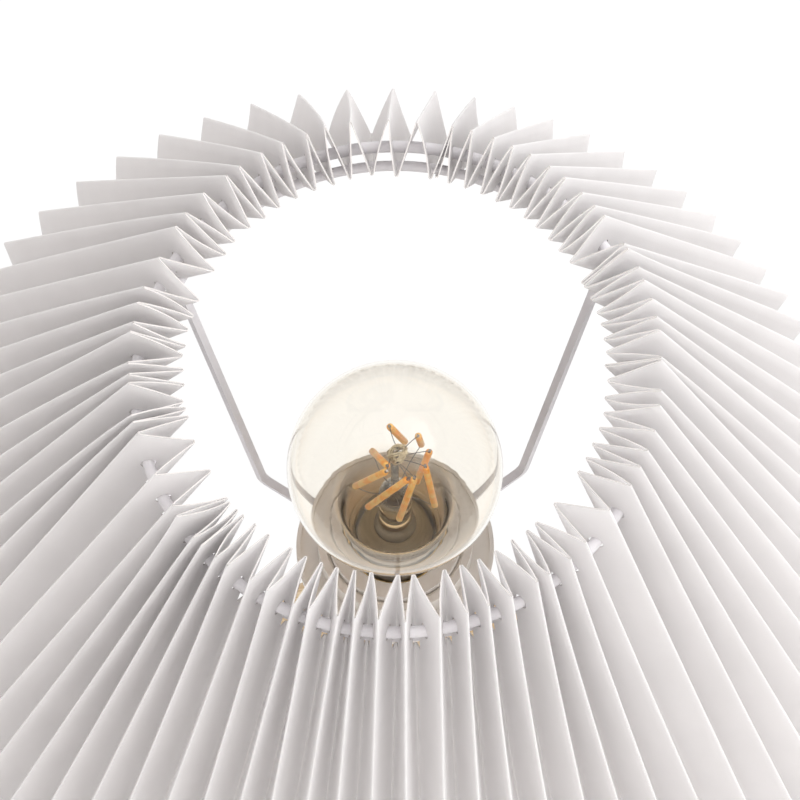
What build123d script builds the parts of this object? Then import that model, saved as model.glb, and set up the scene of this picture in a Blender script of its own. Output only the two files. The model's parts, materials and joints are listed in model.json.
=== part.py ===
"""Pleated paper table lamp, built as an assembly of separate pieces.

Millimetres, +Z up. The origin is the middle of the face that rests on the table, on the lamp's axis.
The front is -Y. Each piece is written to parts/ under its own name.
"""

import os
from math import acos, atan2, cos, degrees, hypot, radians, sin, sqrt, tan

from build123d import *

os.makedirs("parts", exist_ok=True)

# ---------------------------------------------------------------- clearances
running_clearance = 0.1      # radial, between a turning piece and its seat
seat_gap = 0.1               # between two flat faces that turn on each other
paper_clearance = 0.35       # all round a wire that passes through the paper
assembly_clearance = 0.3     # between two fixed pieces that slip into each other
weld_depth = 0.15            # how far a welded strip sinks into its ring

# ---------------------------------------------------------------- foot
felt_radius = 62.0
felt_thickness = 1.5
foot_radius = 66.0
foot_thickness = 18.0
foot_top_round = 4.0
foot_bottom_round = 1.5
pocket_radius = 50.0
pocket_depth = 8.0
nut_recess_radius = 13.0
nut_recess_depth = 3.5
weight_thickness = 6.0
weight_bore_radius = 16.0
weight_screw_circle = 36.0
weight_screw_radius = 2.0
weight_screw_head_radius = 3.8
weight_screw_head_height = 1.8
weight_screw_grip = 6.0

# ---------------------------------------------------------------- cord inlet and terminal block
inlet_height = 8.0
inlet_bore_radius = 3.2
inlet_wall = 1.8
inlet_flange_radius = 6.8
inlet_flange_thickness = 1.5
inlet_spot_depth = 1.6
terminal_block_width = 20.0
terminal_block_length = 10.0
terminal_block_height = 6.6
terminal_block_centre = 29.0
terminal_block_round = 1.2
terminal_pitch = 9.0
terminal_screw_radius = 1.6
terminal_screw_height = 1.2
block_wire_radius = 1.25
block_window_margin = 2.3

# ---------------------------------------------------------------- column and threaded tube
column_radius = 12.0
column_length = 166.0
column_edge_round = 1.5
tube_outer_radius = 5.0
tube_inner_radius = 3.6
tube_below_nut = 1.0
tube_above_nut = 2.0
washer_radius = 10.5
washer_thickness = 1.2
nut_across_flats = 17.0
nut_thickness = 4.0
collar_radius = 14.5
collar_thickness = 3.0

# ---------------------------------------------------------------- lampholder
dome_base_radius = 13.0
dome_base_height = 4.0
dome_shoulder_height = 14.0
dome_height = 22.0
dome_floor = 3.0
holder_wall = 1.8
skirt_length = 36.0
skirt_thread_radius = 19.5
skirt_thread_length = 15.0
skirt_thread_step = 0.3
skirt_shoulder_step = 2.8
skirt_shoulder_thickness = 2.0
skirt_lip_thickness = 1.6
insert_radius = 16.4
insert_thickness = 10.0
insert_edge_round = 1.0
insert_ledge_height = 16.0
shell_inner_radius = 13.7
shell_wall = 0.5
shell_drop = 2.2
socket_depth = 22.0
tongue_width = 5.0
tongue_thickness = 0.5
holder_screw_offset = 9.5
holder_screw_radius = 1.5
holder_screw_head_radius = 2.7
holder_screw_head_height = 1.8
holder_screw_length = 6.0

# ---------------------------------------------------------------- inner leads
lead_radius = 0.8
lead_spread = 1.4
lead_straight = 3.0
lead_slack = 0.4

# ---------------------------------------------------------------- bulb
globe_radius = 30.0
bulb_length = 112.0
glass_thickness = 0.7
neck_radius = 12.4
neck_height = 24.0
neck_flare_radius = 14.2
neck_flare_height = 36.0
globe_joint_angle = 50.0
cap_radius = 13.2
cap_wall = 0.45
cap_bottom_height = 6.0
cap_top_height = 27.0
cap_thread_pitch = 3.629
cap_thread_depth = 1.1
cap_thread_turns = 4
insulator_low_radius = 6.0
contact_radius = 4.6
contact_height = 1.6
contact_edge_round = 1.0
contact_gap = 0.3
driver_radius = 10.0
driver_thickness = 1.6
driver_height = 11.0
capacitor_radius = 3.0
capacitor_height = 7.0
stem_flare_height = 29.0
stem_flare_radius = 11.6
stem_radius = 3.6
stem_flare_rise = 12.0
stem_tip_height = 66.0
stem_flare_angle = 61.0
rod_radius = 1.2
rod_height = 93.0
filament_radius = 0.95
filament_low_height = 76.0
filament_high_height = 97.0
filament_low_ring = 12.6
filament_high_ring = 8.5
filament_azimuths = (        # lower end, upper end
    (196.5, 247.0),
    (231.0, 285.0),
    (276.0, 302.0),
    (322.0, 328.0),
    (7.0, 353.0),
    (51.0, 32.0),
    (75.0, 100.0),
    (126.0, 150.0),
)
filament_grip = 0.6          # how far in from a filament's end its wire is welded
support_wire_radius = 0.3

# ---------------------------------------------------------------- shade frame
frame_ring_wire = 1.4
frame_ring_bite = 0.96       # how far the ring's middle lies outside the paper's inner folds
frame_height = 133.5
arm_count = 3
arm_first_azimuth = 31.75
arm_width = 2.5
arm_thickness = 1.6
arm_knee_radius = 44.0
arm_knee_rise = 5.0
arm_knee_bend = 4.0
arm_top_drop = 1.0
arm_toe_clearance = 0.9
arm_toe_margin = 0.6
carrier_width = 5.7
carrier_thickness = 1.2

# ---------------------------------------------------------------- retaining ring
retaining_flange_width = 9.2
retaining_flange = 1.8
retaining_hub_wall = 2.9
retaining_hub_height = 11.8
retaining_lip_width = 1.2
retaining_lip_height = 1.2
retaining_edge_break = 0.8

# ---------------------------------------------------------------- paper shade
pleat_count = 72
paper_thickness = 0.4
valley_top_radius = 55.0
ridge_top_radius = 69.3
valley_bottom_radius = 131.9
ridge_bottom_radius = 144.3
shade_height = 145.0
ridge_rise_top = 5.0
ridge_rise_bottom = 6.5
ring_below_tips = 19.5
hoop_past_valley = 7.55      # how far the hoop's middle lies outside the paper's inner folds
hoop_wire = 1.6
hoop_below_tips = 10.2
twist_allowance = 0.5        # how far a panel's flat triangles leave its true twist

# ---------------------------------------------------------------- heights worked out from the sizes above
foot_base = felt_thickness
foot_top = foot_base + foot_thickness
pocket_ceiling = foot_base + pocket_depth
nut_recess_ceiling = pocket_ceiling + nut_recess_depth
weight_low = pocket_ceiling - weight_thickness
column_top = foot_top + column_length
dome_base = column_top + collar_thickness
dome_top = dome_base + dome_height
skirt_rim = dome_top + skirt_length
shoulder_top = skirt_rim - skirt_thread_length
insert_base = dome_base + insert_ledge_height
insert_top = insert_base + insert_thickness
bulb_base = skirt_rim - socket_depth
globe_centre = bulb_base + bulb_length - globe_radius
carrier_base = shoulder_top + seat_gap
carrier_top = carrier_base + carrier_thickness
frame_ring_z = carrier_base + frame_height
tips_z = frame_ring_z + ring_below_tips
hoop_z = tips_z - hoop_below_tips
ridge_top_z = tips_z + ridge_rise_top
ridge_bottom_z = ridge_top_z - shade_height
valley_bottom_z = ridge_bottom_z - ridge_rise_bottom
washer_base = nut_recess_ceiling - washer_thickness
foot_nut_base = washer_base - nut_thickness
tube_low = foot_nut_base - tube_below_nut
dome_nut_base = dome_base + dome_floor
tube_high = dome_nut_base + nut_thickness + tube_above_nut
tube_bore = tube_outer_radius + assembly_clearance
holder_radius = skirt_thread_radius - skirt_thread_step
skirt_shoulder_radius = skirt_thread_radius + skirt_shoulder_step
carrier_inner_radius = skirt_thread_radius + assembly_clearance
carrier_outer_radius = carrier_inner_radius + carrier_width
half_pitch = 180 / pleat_count
finished = []


def fold_radii(height):
    """Radii of the paper's outer and inner folds at this height."""
    ridge_share = (ridge_top_z - height) / (ridge_top_z - ridge_bottom_z)
    valley_share = (tips_z - height) / (tips_z - valley_bottom_z)
    ridge = ridge_top_radius + ridge_share * (ridge_bottom_radius - ridge_top_radius)
    valley = valley_top_radius + valley_share * (valley_bottom_radius - valley_top_radius)
    return ridge, valley


ring_ridge, ring_valley = fold_radii(frame_ring_z)
frame_ring_radius = ring_valley + frame_ring_bite
hoop_ridge, hoop_valley = fold_radii(hoop_z)
hoop_radius = hoop_valley + hoop_past_valley


def keep(builder, name):
    """Label a finished piece and write it to its own file."""
    builder.part.label = name
    export_step(builder.part, f"parts/{name}.step")
    finished.append(name)


def radial_plane(azimuth):
    """Upright plane through the axis, its x pointing outwards at this azimuth and its y pointing up."""
    outwards = Vector(cos(radians(azimuth)), sin(radians(azimuth)), 0)
    return Plane(origin=(0, 0, 0), x_dir=outwards, z_dir=outwards.cross(Vector(0, 0, 1)))


def hex_nut(base):
    """Thin hexagon nut on the threaded tube, standing on this height."""
    with BuildPart() as nut:
        with BuildSketch(Plane.XY.offset(base)):
            RegularPolygon(radius=nut_across_flats / 2, side_count=6, major_radius=False)
            Circle(tube_outer_radius, mode=Mode.SUBTRACT)
        extrude(amount=nut_thickness)
    return nut


# ================================================================ foot
with BuildPart() as felt_pad:
    with BuildSketch():
        Circle(felt_radius)
    extrude(amount=felt_thickness)
keep(felt_pad, "felt_pad")

inlet_outer_radius = inlet_bore_radius + inlet_wall
spot_face = foot_radius - inlet_spot_depth
with BuildPart() as wooden_foot:
    with BuildSketch(Plane.XY.offset(foot_base)):
        Circle(foot_radius)
    extrude(amount=foot_thickness)
    rims = wooden_foot.edges().filter_by(GeomType.CIRCLE).sort_by(Axis.Z)
    fillet(rims[-1], radius=foot_top_round)
    rims = wooden_foot.edges().filter_by(GeomType.CIRCLE).sort_by(Axis.Z)
    fillet(rims[0], radius=foot_bottom_round)
    with BuildSketch(Plane.XY.offset(foot_base)):
        Circle(pocket_radius)
    extrude(amount=pocket_depth, mode=Mode.SUBTRACT)
    with BuildSketch(Plane.XY.offset(pocket_ceiling)):
        Circle(nut_recess_radius)
    extrude(amount=nut_recess_depth, mode=Mode.SUBTRACT)
    with BuildSketch(Plane.XY.offset(nut_recess_ceiling)):
        Circle(tube_bore)
    extrude(until=Until.LAST, mode=Mode.SUBTRACT)
    with BuildSketch(Plane.XZ.offset(-foot_radius)):
        with Locations((0, inlet_height)):
            Circle(inlet_outer_radius)
    extrude(amount=foot_radius - pocket_radius + foot_bottom_round, mode=Mode.SUBTRACT)
    with BuildSketch(Plane.XZ.offset(-foot_radius)):
        with Locations((0, inlet_height)):
            Circle(inlet_flange_radius + assembly_clearance)
    extrude(amount=inlet_spot_depth, mode=Mode.SUBTRACT)
    for side in (-1, 1):
        with BuildSketch(Plane.XY.offset(pocket_ceiling)):
            with Locations((side * weight_screw_circle, 0)):
                Circle(weight_screw_radius)
        extrude(amount=weight_screw_grip, mode=Mode.SUBTRACT)
keep(wooden_foot, "wooden_foot")

weight_radius = pocket_radius - assembly_clearance
block_window_width = terminal_block_width + 2 * block_window_margin
block_window_end = terminal_block_centre + terminal_block_length / 2 + block_window_margin
with BuildPart() as foot_weight:
    with BuildSketch(Plane.XY.offset(weight_low)):
        Circle(weight_radius)
        Circle(weight_bore_radius, mode=Mode.SUBTRACT)
        with Locations((0, block_window_end / 2)):
            Rectangle(block_window_width, block_window_end, mode=Mode.SUBTRACT)
        with Locations((-weight_screw_circle, 0), (weight_screw_circle, 0)):
            Circle(weight_screw_radius + assembly_clearance, mode=Mode.SUBTRACT)
        with Locations((0, inlet_height + pocket_radius)):
            Circle(inlet_height, mode=Mode.SUBTRACT)
    extrude(amount=weight_thickness)
keep(foot_weight, "foot_weight")

with BuildPart() as weight_screws:
    for side in (-1, 1):
        with BuildSketch(Plane.XY.offset(weight_low - weight_screw_head_height)):
            with Locations((side * weight_screw_circle, 0)):
                Circle(weight_screw_head_radius)
        extrude(amount=weight_screw_head_height)
        with BuildSketch(Plane.XY.offset(weight_low)):
            with Locations((side * weight_screw_circle, 0)):
                Circle(weight_screw_radius)
        extrude(amount=weight_thickness + weight_screw_grip)
keep(weight_screws, "weight_screws")

with BuildPart() as cord_inlet_bush:
    with BuildSketch(Plane.XZ.offset(-spot_face)):
        with Locations((0, inlet_height)):
            Circle(inlet_outer_radius)
    extrude(amount=spot_face - pocket_radius)
    with BuildSketch(Plane.XZ.offset(-spot_face - inlet_flange_thickness)):
        with Locations((0, inlet_height)):
            Circle(inlet_flange_radius)
    extrude(amount=inlet_flange_thickness)
    with BuildSketch(Plane.XZ.offset(-spot_face - inlet_flange_thickness)):
        with Locations((0, inlet_height)):
            Circle(inlet_bore_radius)
    extrude(amount=inlet_flange_thickness + spot_face - pocket_radius, mode=Mode.SUBTRACT)
keep(cord_inlet_bush, "cord_inlet_bush")

terminal_block_base = pocket_ceiling - terminal_block_height
block_front = terminal_block_centre - terminal_block_length / 2
lead_entry_z = terminal_block_base + terminal_block_height / 2
with BuildPart() as terminal_block:
    with BuildSketch(Plane.XY.offset(terminal_block_base)):
        with Locations((0, terminal_block_centre)):
            Rectangle(terminal_block_width, terminal_block_length)
    extrude(amount=terminal_block_height)
    fillet(terminal_block.edges().filter_by(Axis.Z), radius=terminal_block_round)
    for side in (-1, 1):
        with BuildSketch(Plane.XZ.offset(-block_front)):
            with Locations((side * terminal_pitch / 2, lead_entry_z)):
                Circle(block_wire_radius)
        extrude(amount=-terminal_block_length, mode=Mode.SUBTRACT)
        with BuildSketch(Plane.XY.offset(terminal_block_base)):
            with Locations((side * terminal_pitch / 2, terminal_block_centre)):
                Circle(terminal_screw_radius + running_clearance)
        extrude(amount=terminal_screw_height + running_clearance, mode=Mode.SUBTRACT)
keep(terminal_block, "terminal_block")

with BuildPart() as terminal_block_screws:
    for side in (-1, 1):
        with BuildSketch(Plane.XY.offset(terminal_block_base)):
            with Locations((side * terminal_pitch / 2, terminal_block_centre)):
                Circle(terminal_screw_radius)
        extrude(amount=terminal_screw_height)
keep(terminal_block_screws, "terminal_block_screws")

# ================================================================ column and tube
with BuildPart() as threaded_tube:
    with BuildSketch(Plane.XY.offset(tube_low)):
        Circle(tube_outer_radius)
        Circle(tube_inner_radius, mode=Mode.SUBTRACT)
    extrude(amount=tube_high - tube_low)
keep(threaded_tube, "threaded_tube")

with BuildPart() as tube_washer:
    with BuildSketch(Plane.XY.offset(washer_base)):
        Circle(washer_radius)
        Circle(tube_bore, mode=Mode.SUBTRACT)
    extrude(amount=washer_thickness)
keep(tube_washer, "tube_washer")

tube_nut = hex_nut(foot_nut_base)
keep(tube_nut, "tube_nut")

with BuildPart() as wooden_column:
    with BuildSketch(Plane.XY.offset(foot_top)):
        Circle(column_radius)
    extrude(amount=column_length)
    fillet(wooden_column.edges().filter_by(GeomType.CIRCLE), radius=column_edge_round)
    with BuildSketch(Plane.XY.offset(foot_top)):
        Circle(tube_bore)
    extrude(amount=column_length, mode=Mode.SUBTRACT)
keep(wooden_column, "wooden_column")

with BuildPart() as column_collar:
    with BuildSketch(Plane.XY.offset(column_top)):
        Circle(collar_radius)
        Circle(tube_bore, mode=Mode.SUBTRACT)
    extrude(amount=collar_thickness)
    rims = column_collar.edges().filter_by(GeomType.CIRCLE).sort_by(SortBy.RADIUS)[-2:]
    fillet(rims, radius=collar_thickness / 3)
keep(column_collar, "column_collar")

# ================================================================ lampholder
dome_cavity = dome_base_radius - holder_wall
ledge_radius = insert_radius - holder_wall
insert_seat_radius = insert_radius + assembly_clearance
with BuildPart() as lampholder_dome:
    with BuildSketch(Plane.XZ):
        with BuildLine():
            Polyline(
                (tube_bore, dome_base),
                (dome_base_radius, dome_base),
                (dome_base_radius, dome_base + dome_base_height),
                (holder_radius, dome_base + dome_shoulder_height),
                (holder_radius, dome_top),
                (insert_seat_radius, dome_top),
                (insert_seat_radius, insert_base),
                (ledge_radius, insert_base),
                (ledge_radius, dome_base + dome_shoulder_height - holder_wall),
                (dome_cavity, dome_base + dome_base_height + holder_wall),
                (dome_cavity, dome_base + dome_floor),
                (tube_bore, dome_base + dome_floor),
                close=True,
            )
        make_face()
    revolve(axis=Axis.Z)
keep(lampholder_dome, "lampholder_dome")

lampholder_lock_nut = hex_nut(dome_nut_base)
keep(lampholder_lock_nut, "lampholder_lock_nut")

skirt_inner_radius = skirt_thread_radius - holder_wall
shell_outer_radius = shell_inner_radius + shell_wall
with BuildPart() as lampholder_skirt:
    with BuildSketch(Plane.XZ):
        with BuildLine():
            Polyline(
                (skirt_inner_radius, dome_top),
                (holder_radius, dome_top),
                (holder_radius, shoulder_top - 2 * skirt_shoulder_thickness),
                (skirt_shoulder_radius, shoulder_top - skirt_shoulder_thickness),
                (skirt_shoulder_radius, shoulder_top),
                (skirt_thread_radius, shoulder_top),
                (skirt_thread_radius, skirt_rim),
                (shell_outer_radius + assembly_clearance, skirt_rim),
                (shell_outer_radius + assembly_clearance, skirt_rim - skirt_lip_thickness),
                (skirt_inner_radius, skirt_rim - skirt_lip_thickness),
                close=True,
            )
        make_face()
    revolve(axis=Axis.Z)
    top_rims = lampholder_skirt.edges().filter_by(GeomType.CIRCLE).group_by(Axis.Z)[-1]
    fillet(top_rims, radius=skirt_lip_thickness / 4)
keep(lampholder_skirt, "lampholder_skirt")

with BuildPart() as lampholder_insert:
    with BuildSketch(Plane.XY.offset(insert_base)):
        Circle(insert_radius)
        with Locations((-holder_screw_offset, 0), (holder_screw_offset, 0)):
            Circle(holder_screw_radius, mode=Mode.SUBTRACT)
    extrude(amount=insert_thickness)
    top_rims = lampholder_insert.edges().filter_by(GeomType.CIRCLE).group_by(Axis.Z)[-1]
    fillet(top_rims.sort_by(SortBy.RADIUS)[-1], radius=insert_edge_round)
keep(lampholder_insert, "lampholder_insert")

with BuildPart() as holder_thread_shell:
    with BuildSketch(Plane.XY.offset(insert_top)):
        Circle(shell_outer_radius)
        Circle(shell_inner_radius, mode=Mode.SUBTRACT)
    extrude(amount=skirt_rim - shell_drop - insert_top)
keep(holder_thread_shell, "holder_thread_shell")

tongue_top = bulb_base - contact_gap - tongue_thickness / 2
tongue_foot = insert_top + tongue_thickness / 2
with BuildPart() as holder_centre_tongue:
    with BuildSketch(Plane.XZ.offset(-tongue_width / 2)):
        with BuildLine() as tongue_path:
            FilletPolyline(
                (-insert_radius / 2, tongue_foot),
                (-insert_radius / 4, tongue_foot),
                (-contact_radius / 2, tongue_top),
                (contact_radius / 2, tongue_top),
                radius=tongue_thickness * 2,
            )
        trace(line_width=tongue_thickness)
    extrude(amount=tongue_width)
keep(holder_centre_tongue, "holder_centre_tongue")

with BuildPart() as holder_terminal_screws:
    for side in (-1, 1):
        with BuildSketch(Plane.XY.offset(insert_base - holder_screw_head_height)):
            with Locations((side * holder_screw_offset, 0)):
                Circle(holder_screw_head_radius)
        extrude(amount=holder_screw_head_height)
        with BuildSketch(Plane.XY.offset(insert_base)):
            with Locations((side * holder_screw_offset, 0)):
                Circle(holder_screw_radius)
        extrude(amount=holder_screw_length)
keep(holder_terminal_screws, "holder_terminal_screws")


# ================================================================ inner leads
def inner_lead(side):
    """One insulated lead from the terminal block, up the tube, to its screw in the lampholder."""
    block_x = side * terminal_pitch / 2
    lead_start = (block_x, block_front + block_wire_radius, lead_entry_z)
    screw_x = side * (holder_screw_offset - holder_screw_head_radius - lead_radius)
    screw_z = insert_base - holder_screw_head_height
    bend_z = tube_low - tube_inner_radius + lead_radius
    with BuildPart() as lead:
        with BuildLine():
            Spline(
                lead_start,
                (block_x, block_front - lead_straight, lead_entry_z),
                (side * (lead_spread + lead_slack), lead_straight + lead_slack, bend_z + lead_slack),
                (side * lead_spread, 0, tube_low + lead_straight),
                tangents=((0, -1, 0), (0, 0, 1)),
            )
            Line((side * lead_spread, 0, tube_low + lead_straight), (side * lead_spread, 0, tube_high))
            Spline(
                (side * lead_spread, 0, tube_high),
                (screw_x, 0, screw_z),
                tangents=((0, 0, 1), (0, 0, 1)),
            )
        with BuildSketch(Plane(origin=lead_start, z_dir=(0, -1, 0))):
            Circle(lead_radius)
        sweep()
    return lead


inner_lead_live = inner_lead(1)
keep(inner_lead_live, "inner_lead_live")
inner_lead_neutral = inner_lead(-1)
keep(inner_lead_neutral, "inner_lead_neutral")

# ================================================================ bulb
cap_bottom = bulb_base + cap_bottom_height
cap_top = bulb_base + cap_top_height
neck_z = bulb_base + neck_height
flare_z = bulb_base + neck_flare_height
joint_tangent = (sin(radians(globe_joint_angle)), cos(radians(globe_joint_angle)))


def glass_outline(wall):
    """Closed half outline of the bulb, this far inside its outer skin."""
    radius = globe_radius - wall
    corner_r = radius * cos(radians(globe_joint_angle))
    corner_z = globe_centre - radius * sin(radians(globe_joint_angle))
    Line((0, neck_z), (neck_radius - wall, neck_z))
    Line((neck_radius - wall, neck_z), (neck_radius - wall, cap_top))
    Spline(
        (neck_radius - wall, cap_top),
        (neck_flare_radius - wall, flare_z),
        (corner_r, corner_z),
        tangents=((0, 1), joint_tangent),
    )
    ThreePointArc(
        (corner_r, corner_z),
        (radius, globe_centre),
        (0, globe_centre + radius),
    )
    Line((0, globe_centre + radius), (0, neck_z))


with BuildPart() as bulb_glass:
    with BuildSketch(Plane.XZ):
        with BuildLine():
            glass_outline(0)
        make_face()
        with BuildLine():
            glass_outline(glass_thickness)
        make_face(mode=Mode.SUBTRACT)
    revolve(axis=Axis.Z)
keep(bulb_glass, "bulb_glass")

cap_inner_radius = cap_radius - cap_thread_depth - cap_wall
thread_start = cap_bottom + (cap_top - cap_bottom - cap_thread_pitch * cap_thread_turns) / 2
with BuildPart() as bulb_cap:
    with BuildSketch(Plane.XZ):
        with Locations((0, cap_bottom)):
            Rectangle(cap_radius, cap_top - cap_bottom, align=(Align.MIN, Align.MIN))
        for turn in range(cap_thread_turns):
            with Locations((cap_radius, thread_start + (turn + 0.5) * cap_thread_pitch)):
                Circle(cap_thread_depth, mode=Mode.SUBTRACT)
        with Locations((0, cap_bottom)):
            Rectangle(cap_inner_radius, neck_z - cap_bottom, align=(Align.MIN, Align.MIN), mode=Mode.SUBTRACT)
        with Locations((0, neck_z)):
            Rectangle(neck_radius, cap_top - neck_z, align=(Align.MIN, Align.MIN), mode=Mode.SUBTRACT)
    revolve(axis=Axis.Z)
keep(bulb_cap, "bulb_cap")

insulator_low = bulb_base + contact_height
with BuildPart() as bulb_cap_insulator:
    with BuildSketch(Plane.XZ):
        with BuildLine():
            Polyline(
                (0, insulator_low),
                (insulator_low_radius, insulator_low),
                (cap_radius - cap_thread_depth, cap_bottom),
                (0, cap_bottom),
                close=True,
            )
        make_face()
    revolve(axis=Axis.Z)
keep(bulb_cap_insulator, "bulb_cap_insulator")

with BuildPart() as bulb_centre_contact:
    with BuildSketch(Plane.XY.offset(bulb_base)):
        Circle(contact_radius)
    extrude(amount=contact_height)
    low_rim = bulb_centre_contact.edges().filter_by(GeomType.CIRCLE).sort_by(Axis.Z)[0]
    fillet(low_rim, radius=contact_edge_round)
keep(bulb_centre_contact, "bulb_centre_contact")

driver_z = bulb_base + driver_height
with BuildPart() as bulb_driver_board:
    with BuildSketch(Plane.XY.offset(driver_z)):
        Circle(driver_radius)
    extrude(amount=driver_thickness)
    with BuildSketch(Plane.XY.offset(driver_z)):
        Circle(capacitor_radius)
        with Locations((2 * capacitor_radius, 0)):
            Rectangle(capacitor_radius, capacitor_radius)
    extrude(amount=-(driver_height - cap_bottom_height))
keep(bulb_driver_board, "bulb_driver_board")

stem_low = bulb_base + stem_flare_height
stem_top = bulb_base + stem_tip_height
rod_top = bulb_base + rod_height
with BuildPart() as bulb_stem:
    with BuildSketch(Plane.XZ):
        with BuildLine():
            Line((0, stem_low), (stem_flare_radius, stem_low))
            Spline(
                (stem_flare_radius, stem_low),
                (stem_radius, stem_low + stem_flare_rise),
                tangents=((-cos(radians(stem_flare_angle)), sin(radians(stem_flare_angle))), (0, 1)),
            )
            Line((stem_radius, stem_low + stem_flare_rise), (stem_radius, stem_top - stem_radius))
            Polyline(
                (stem_radius, stem_top - stem_radius),
                (rod_radius, stem_top),
                (rod_radius, rod_top),
                (0, rod_top),
                (0, stem_low),
            )
        make_face()
    revolve(axis=Axis.Z)
keep(bulb_stem, "bulb_stem")

filament_low_z = bulb_base + filament_low_height
filament_high_z = bulb_base + filament_high_height


def on_ring(radius, azimuth, height):
    """Point at this radius, azimuth in degrees and height."""
    return Vector(radius * cos(radians(azimuth)), radius * sin(radians(azimuth)), height)


filament_ends = []
for low_azimuth, high_azimuth in filament_azimuths:
    low_end = on_ring(filament_low_ring, low_azimuth, filament_low_z)
    high_end = on_ring(filament_high_ring, high_azimuth, filament_high_z)
    filament_ends.append((low_end, high_end))

with BuildPart() as bulb_filaments:
    for low_end, high_end in filament_ends:
        stick = high_end - low_end
        with BuildSketch(Plane(origin=low_end, z_dir=stick)):
            Circle(filament_radius)
        extrude(amount=stick.length)
keep(bulb_filaments, "bulb_filaments")

wire_low_hub = stem_top - stem_radius
wire_top_hub = Vector(0, 0, filament_high_z - filament_radius)
wire_ends = [(Vector(0, 0, wire_low_hub), Vector(0, 0, filament_high_z))]
for low_end, high_end in filament_ends:
    grip = (high_end - low_end).normalized() * filament_grip
    stem_side = Vector(low_end.X, low_end.Y, 0).normalized() * (stem_radius / 2) + Vector(0, 0, wire_low_hub)
    wire_ends.append((stem_side, low_end + grip))
    wire_ends.append((wire_top_hub, high_end - grip))

with BuildPart() as bulb_support_wires:
    for start, end in wire_ends:
        with BuildSketch(Plane(origin=start, z_dir=end - start)):
            Circle(support_wire_radius)
        extrude(amount=(end - start).length)
    add(bulb_stem.part, mode=Mode.SUBTRACT)
    add(bulb_filaments.part, mode=Mode.SUBTRACT)
keep(bulb_support_wires, "bulb_support_wires")

# ================================================================ shade frame
with BuildPart() as shade_frame_ring:
    with BuildSketch(Plane.XZ):
        with Locations((frame_ring_radius, frame_ring_z)):
            Circle(frame_ring_wire)
    revolve(axis=Axis.Z)
keep(shade_frame_ring, "shade_frame_ring")

with BuildPart() as frame_carrier_ring:
    with BuildSketch(Plane.XY.offset(carrier_base)):
        Circle(carrier_outer_radius)
        Circle(carrier_inner_radius, mode=Mode.SUBTRACT)
    extrude(amount=carrier_thickness)
keep(frame_carrier_ring, "frame_carrier_ring")

arm_top_z = frame_ring_z - arm_top_drop
ring_inner_face = frame_ring_radius - sqrt(frame_ring_wire**2 - arm_top_drop**2)
arm_top_radius = ring_inner_face + weld_depth - arm_thickness / 2
toe_z = carrier_base - arm_thickness / 2
toe_end_radius = skirt_shoulder_radius + arm_toe_clearance
toe_start_radius = carrier_outer_radius + arm_toe_margin
arm_names = ("frame_arm_right", "frame_arm_left", "frame_arm_front")


def frame_arm(azimuth):
    """Flat strip bent at the knee, from the frame ring down and in to the carrier ring."""
    with BuildPart() as arm:
        with BuildSketch(radial_plane(azimuth)):
            with BuildLine():
                FilletPolyline(
                    (arm_top_radius, arm_top_z),
                    (arm_knee_radius, carrier_base + arm_knee_rise),
                    (toe_start_radius, toe_z),
                    (toe_end_radius, toe_z),
                    radius=arm_knee_bend,
                )
            trace(line_width=arm_thickness)
        extrude(amount=arm_width / 2, both=True)
    return arm


for order, arm_name in enumerate(arm_names):
    keep(frame_arm(arm_first_azimuth + order * 360 / arm_count), arm_name)

# ================================================================ retaining ring
retaining_base = carrier_top + seat_gap
retaining_bore = skirt_thread_radius + running_clearance
retaining_radius = retaining_bore + retaining_flange_width
hub_radius = retaining_bore + retaining_hub_wall
flange_top = retaining_base + retaining_flange
with BuildPart() as shade_retaining_ring:
    with BuildSketch(Plane.XZ):
        with BuildLine():
            Polyline(
                (retaining_bore, retaining_base),
                (retaining_radius, retaining_base),
                (retaining_radius, flange_top + retaining_lip_height),
                (retaining_radius - retaining_lip_width, flange_top + retaining_lip_height),
                (retaining_radius - retaining_lip_width, flange_top),
                (hub_radius, flange_top),
                (hub_radius, retaining_base + retaining_hub_height),
                (retaining_bore + retaining_edge_break, retaining_base + retaining_hub_height),
                (retaining_bore, retaining_base + retaining_hub_height - retaining_edge_break),
                close=True,
            )
        make_face()
    revolve(axis=Axis.Z)
keep(shade_retaining_ring, "shade_retaining_ring")

# ================================================================ paper shade
with BuildPart() as shade_hoop:
    with BuildSketch(Plane.XZ):
        with Locations((hoop_radius, hoop_z)):
            Circle(hoop_wire)
    revolve(axis=Axis.Z)
keep(shade_hoop, "shade_hoop")


def fold_corners(ridge_radius, ridge_z, valley_radius, valley_z):
    """Corners of the paper's edge at each fold, in order round the axis, as (outside corners, inside corners).

    Ridges and valleys alternate, and the first ridge lies on the X axis. The face that a fold bulges towards is
    cut off flat by two corners, and the other face has one.
    """
    middle = []
    for step in range(2 * pleat_count):
        radius, height = (ridge_radius, ridge_z) if step % 2 == 0 else (valley_radius, valley_z)
        middle.append(on_ring(radius, step * half_pitch, height))
    corners = []
    for step, point in enumerate(middle):
        into = point - middle[step - 1]
        out_of = middle[(step + 1) % len(middle)] - point
        normal_in = Vector(into.Y, -into.X, 0).normalized() * (paper_thickness / 2)
        normal_out = Vector(out_of.Y, -out_of.X, 0).normalized() * (paper_thickness / 2)
        bisector = normal_in + normal_out
        mitre = bisector * (paper_thickness**2 / 2 / bisector.dot(bisector))
        if step % 2 == 0:
            corners.append(([point + normal_in, point + normal_out], [point - mitre]))
        else:
            corners.append(([point + mitre], [point - normal_in, point - normal_out]))
    return corners


def crease(first, second, third, fourth):
    """Two flat triangles that close a four-sided, slightly twisted patch of paper."""
    return [
        Face(Wire.make_polygon([first, second, third])),
        Face(Wire.make_polygon([first, third, fourth])),
    ]


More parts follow.
